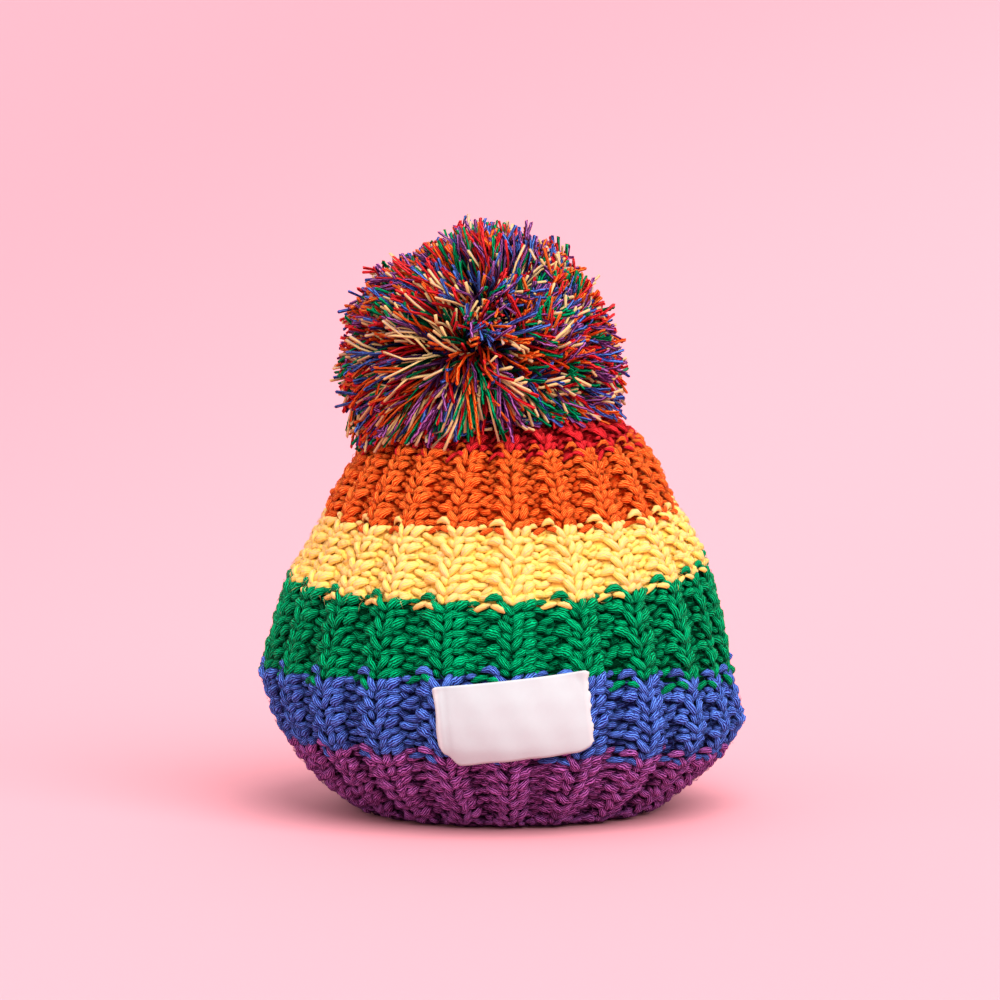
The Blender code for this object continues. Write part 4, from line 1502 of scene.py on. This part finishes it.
    def heart(self, material: Material) -> bpy.types.Object:
        """The dense heart: an ellipsoid with an uneven surface, closed at both poles."""
        rows, columns = 22, 40
        rise = np.linspace(-0.5 * np.pi, 0.5 * np.pi, rows)[1:-1, None]
        turn = np.linspace(0.0, TURN, columns, endpoint=False)[None, :]
        ways = np.cos(rise) * np.cos(turn), np.cos(rise) * np.sin(turn), np.sin(rise)
        x, y, z = np.broadcast_arrays(*ways)
        lump = 1.0 + 0.03 * np.sin(9.0 * x + 3.0) * np.sin(11.0 * y) * np.cos(8.0 * z)
        ring = self.middle + np.stack((x, y, z), -1) * self.radii * self.core * lump[..., None]
        poles = self.middle + np.array(((0, 0, -1.0), (0, 0, 1.0))) * self.radii * self.core
        points = np.concatenate((ring.reshape(-1, 3), poles))
        points[:, 2] = np.maximum(points[:, 2], self.crown(points) + self.clear[0])
        last, top = len(points) - 1, (rows - 3) * columns
        k = np.arange(columns)
        after = (k + 1) % columns
        caps = np.concatenate((
            np.stack((np.full(columns, last - 1), after, k), -1),
            np.stack((top + k, top + after, np.full(columns, last)), -1),
        ))
        faces, uv = [grid_faces(rows - 2, columns, wrap=True), caps], points[:, :2] / 10.0
        # The heart takes the purple's ground finish and is darker still: painted shade deep inside
        # the ball.
        shade = np.full(len(points), -0.2)
        surface = Surface((points + AXIS) * MM, faces, [uv[f] for f in faces], shade=shade)
        return surface.piece("pompom_heart", [material])

    def build(self, finishes: Finishes, heart: Material) -> None:
        """Make the heart and one mesh of strands for each yarn."""
        chance = np.random.default_rng(7)
        line, yarn, radius = self.grow(chance)
        ahead = unit(np.gradient(line, axis=1))
        steep = np.abs(ahead[..., 2:3]) >= 0.8
        helper = np.where(steep, np.array((1.0, 0.0, 0.0)), np.array((0.0, 0.0, 1.0)))
        side = unit(np.cross(helper, ahead))
        other = np.cross(ahead, side)
        size = radius[:, None, None] * np.array(self.SWELL)[None, :, None]
        twist = chance.uniform(0.0, 2.0, len(line))
        points, along = tubes(line, side * size, other * size, twist, 0.0, self.sides)
        length = np.linalg.norm(np.diff(line, axis=1), axis=-1).sum(axis=1)
        rings, pieces = line.shape[1], [self.heart(heart)]
        for number, kind in enumerate(Yarn):
            mine = yarn == number
            # Each strand's random tone, the whole ball a little darker, and painted shade that
            # deepens towards the heart.
            spread = 0.12 * chance.normal(size=(mine.sum(), 1)).clip(-2.0, 2.0)
            away = points[mine] - self.middle
            out = np.linalg.norm(away, axis=-1)
            share = out / self.trimmed(away / out[..., None])
            shade = spread - 0.08 - 0.90 * (1.0 - smooth(share, 0.68, 0.97))
            places = (points[mine] + AXIS) * MM
            surface = tube_surface(places, along, rings, self.sides, length[mine], shade)
            pieces.append(surface.piece(f"pompom_{kind.name.lower()}_strands", [finishes[kind]]))
        for piece in pieces:
            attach(piece, "root")
        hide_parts("pompom")


# --------------------------------------------------------------- the stage
@dataclass
class Studio:
    """The pale floor, soft light and the camera at the photograph's angle."""

    distance: float = 6.0
    across_view: float = 0.380
    down: float = 7.5
    target: tuple[float, float, float] = (-0.000135, 0.000966, 0.1177)
    key: float = 4.7
    room: Colour = (1.0, 0.88, 0.92)
    room_strength: float = 0.95

    def floor(self, material: Material) -> None:
        """A wide flat floor, finer near the middle."""
        steps = np.concatenate((-np.geomspace(16.0, 0.2, 8), (0.0,), np.geomspace(0.2, 16.0, 8)))
        x, y = np.meshgrid(steps, steps)
        points = np.stack((x, y, np.full_like(x, -0.0002)), -1).reshape(-1, 3)
        Surface(points, [grid_faces(len(steps), len(steps))]).piece("pale_floor", [material])

    def camera(self, film: float = 36.0) -> None:
        """A long lens whose picture is across_view wide at the target."""
        data = bpy.data.cameras.new("photo_camera")
        data.sensor_width = film
        data.lens = film * self.distance / self.across_view
        data.clip_end = 60.0
        item = bpy.data.objects.new("photo_camera", data)
        rise = math.radians(self.down)
        x, y, z = self.target
        item.location = (x, y - self.distance * math.cos(rise), z + self.distance * math.sin(rise))
        item.rotation_euler = (math.radians(90.0) - rise, 0.0, 0.0)
        bpy.context.scene.collection.objects.link(item)
        bpy.context.scene.camera = item

    def sun(
        self, name: str, strength: float, spread: float, turn: float, rise: float, colour: Colour
    ) -> None:
        """A soft light from far off.

        Args:
            name: the light's name.
            strength: its strength.
            spread: how wide it looks, in degrees.
            turn: degrees round from the front, towards the handle side.
            rise: degrees up.
            colour: its colour.
        """
        data = bpy.data.lights.new(name, "SUN")
        data.energy, data.angle, data.color = strength, math.radians(spread), colour
        item = bpy.data.objects.new(name, data)
        item.rotation_euler = (math.radians(90.0 - rise), 0.0, math.radians(turn))
        bpy.context.scene.collection.objects.link(item)

    def room_light(self) -> None:
        """Even pale light from all round."""
        world = bpy.data.worlds.new("pale_room")
        world.use_nodes = True
        shade = world.node_tree.nodes["Background"]
        shade.inputs[0].default_value = (*self.room, 1.0)
        shade.inputs[1].default_value = self.room_strength
        bpy.context.scene.world = world

    def build(self) -> None:
        """Set up the camera, the light and the floor."""
        bpy.context.scene.view_settings.view_transform = "Standard"
        self.camera()
        self.sun("key_light", self.key, 58.0, 30.0, 50.0, (1.0, 0.99, 0.98))
        self.sun("fill_light", 0.5, 60.0, -50.0, 35.0, (1.0, 0.97, 0.97))
        self.sun("back_light", 0.9, 70.0, 180.0, 30.0, (1.0, 0.98, 0.98))
        self.room_light()
        self.floor(FloorFinish().material())


def main() -> None:
    """Build the cosy's pieces in order."""
    logging.basicConfig(level=logging.INFO, format="%(name)s %(message)s")
    form = CosyForm()
    knitted, under, cut = ({yarn: yarn.value.material(use) for yarn in Yarn} for use in YarnUse)
    Studio().build()
    KnittedPanel("front", 1, form).build(knitted, under)
    KnittedPanel("back", -1, form).build(knitted, under)
    SideSeams(form).build(knitted)
    SewnLabel(form).build(ClothFinish().material())
    Pompom(form).build(cut, under[Yarn.PURPLE])


if __name__ == "__main__":
    main()
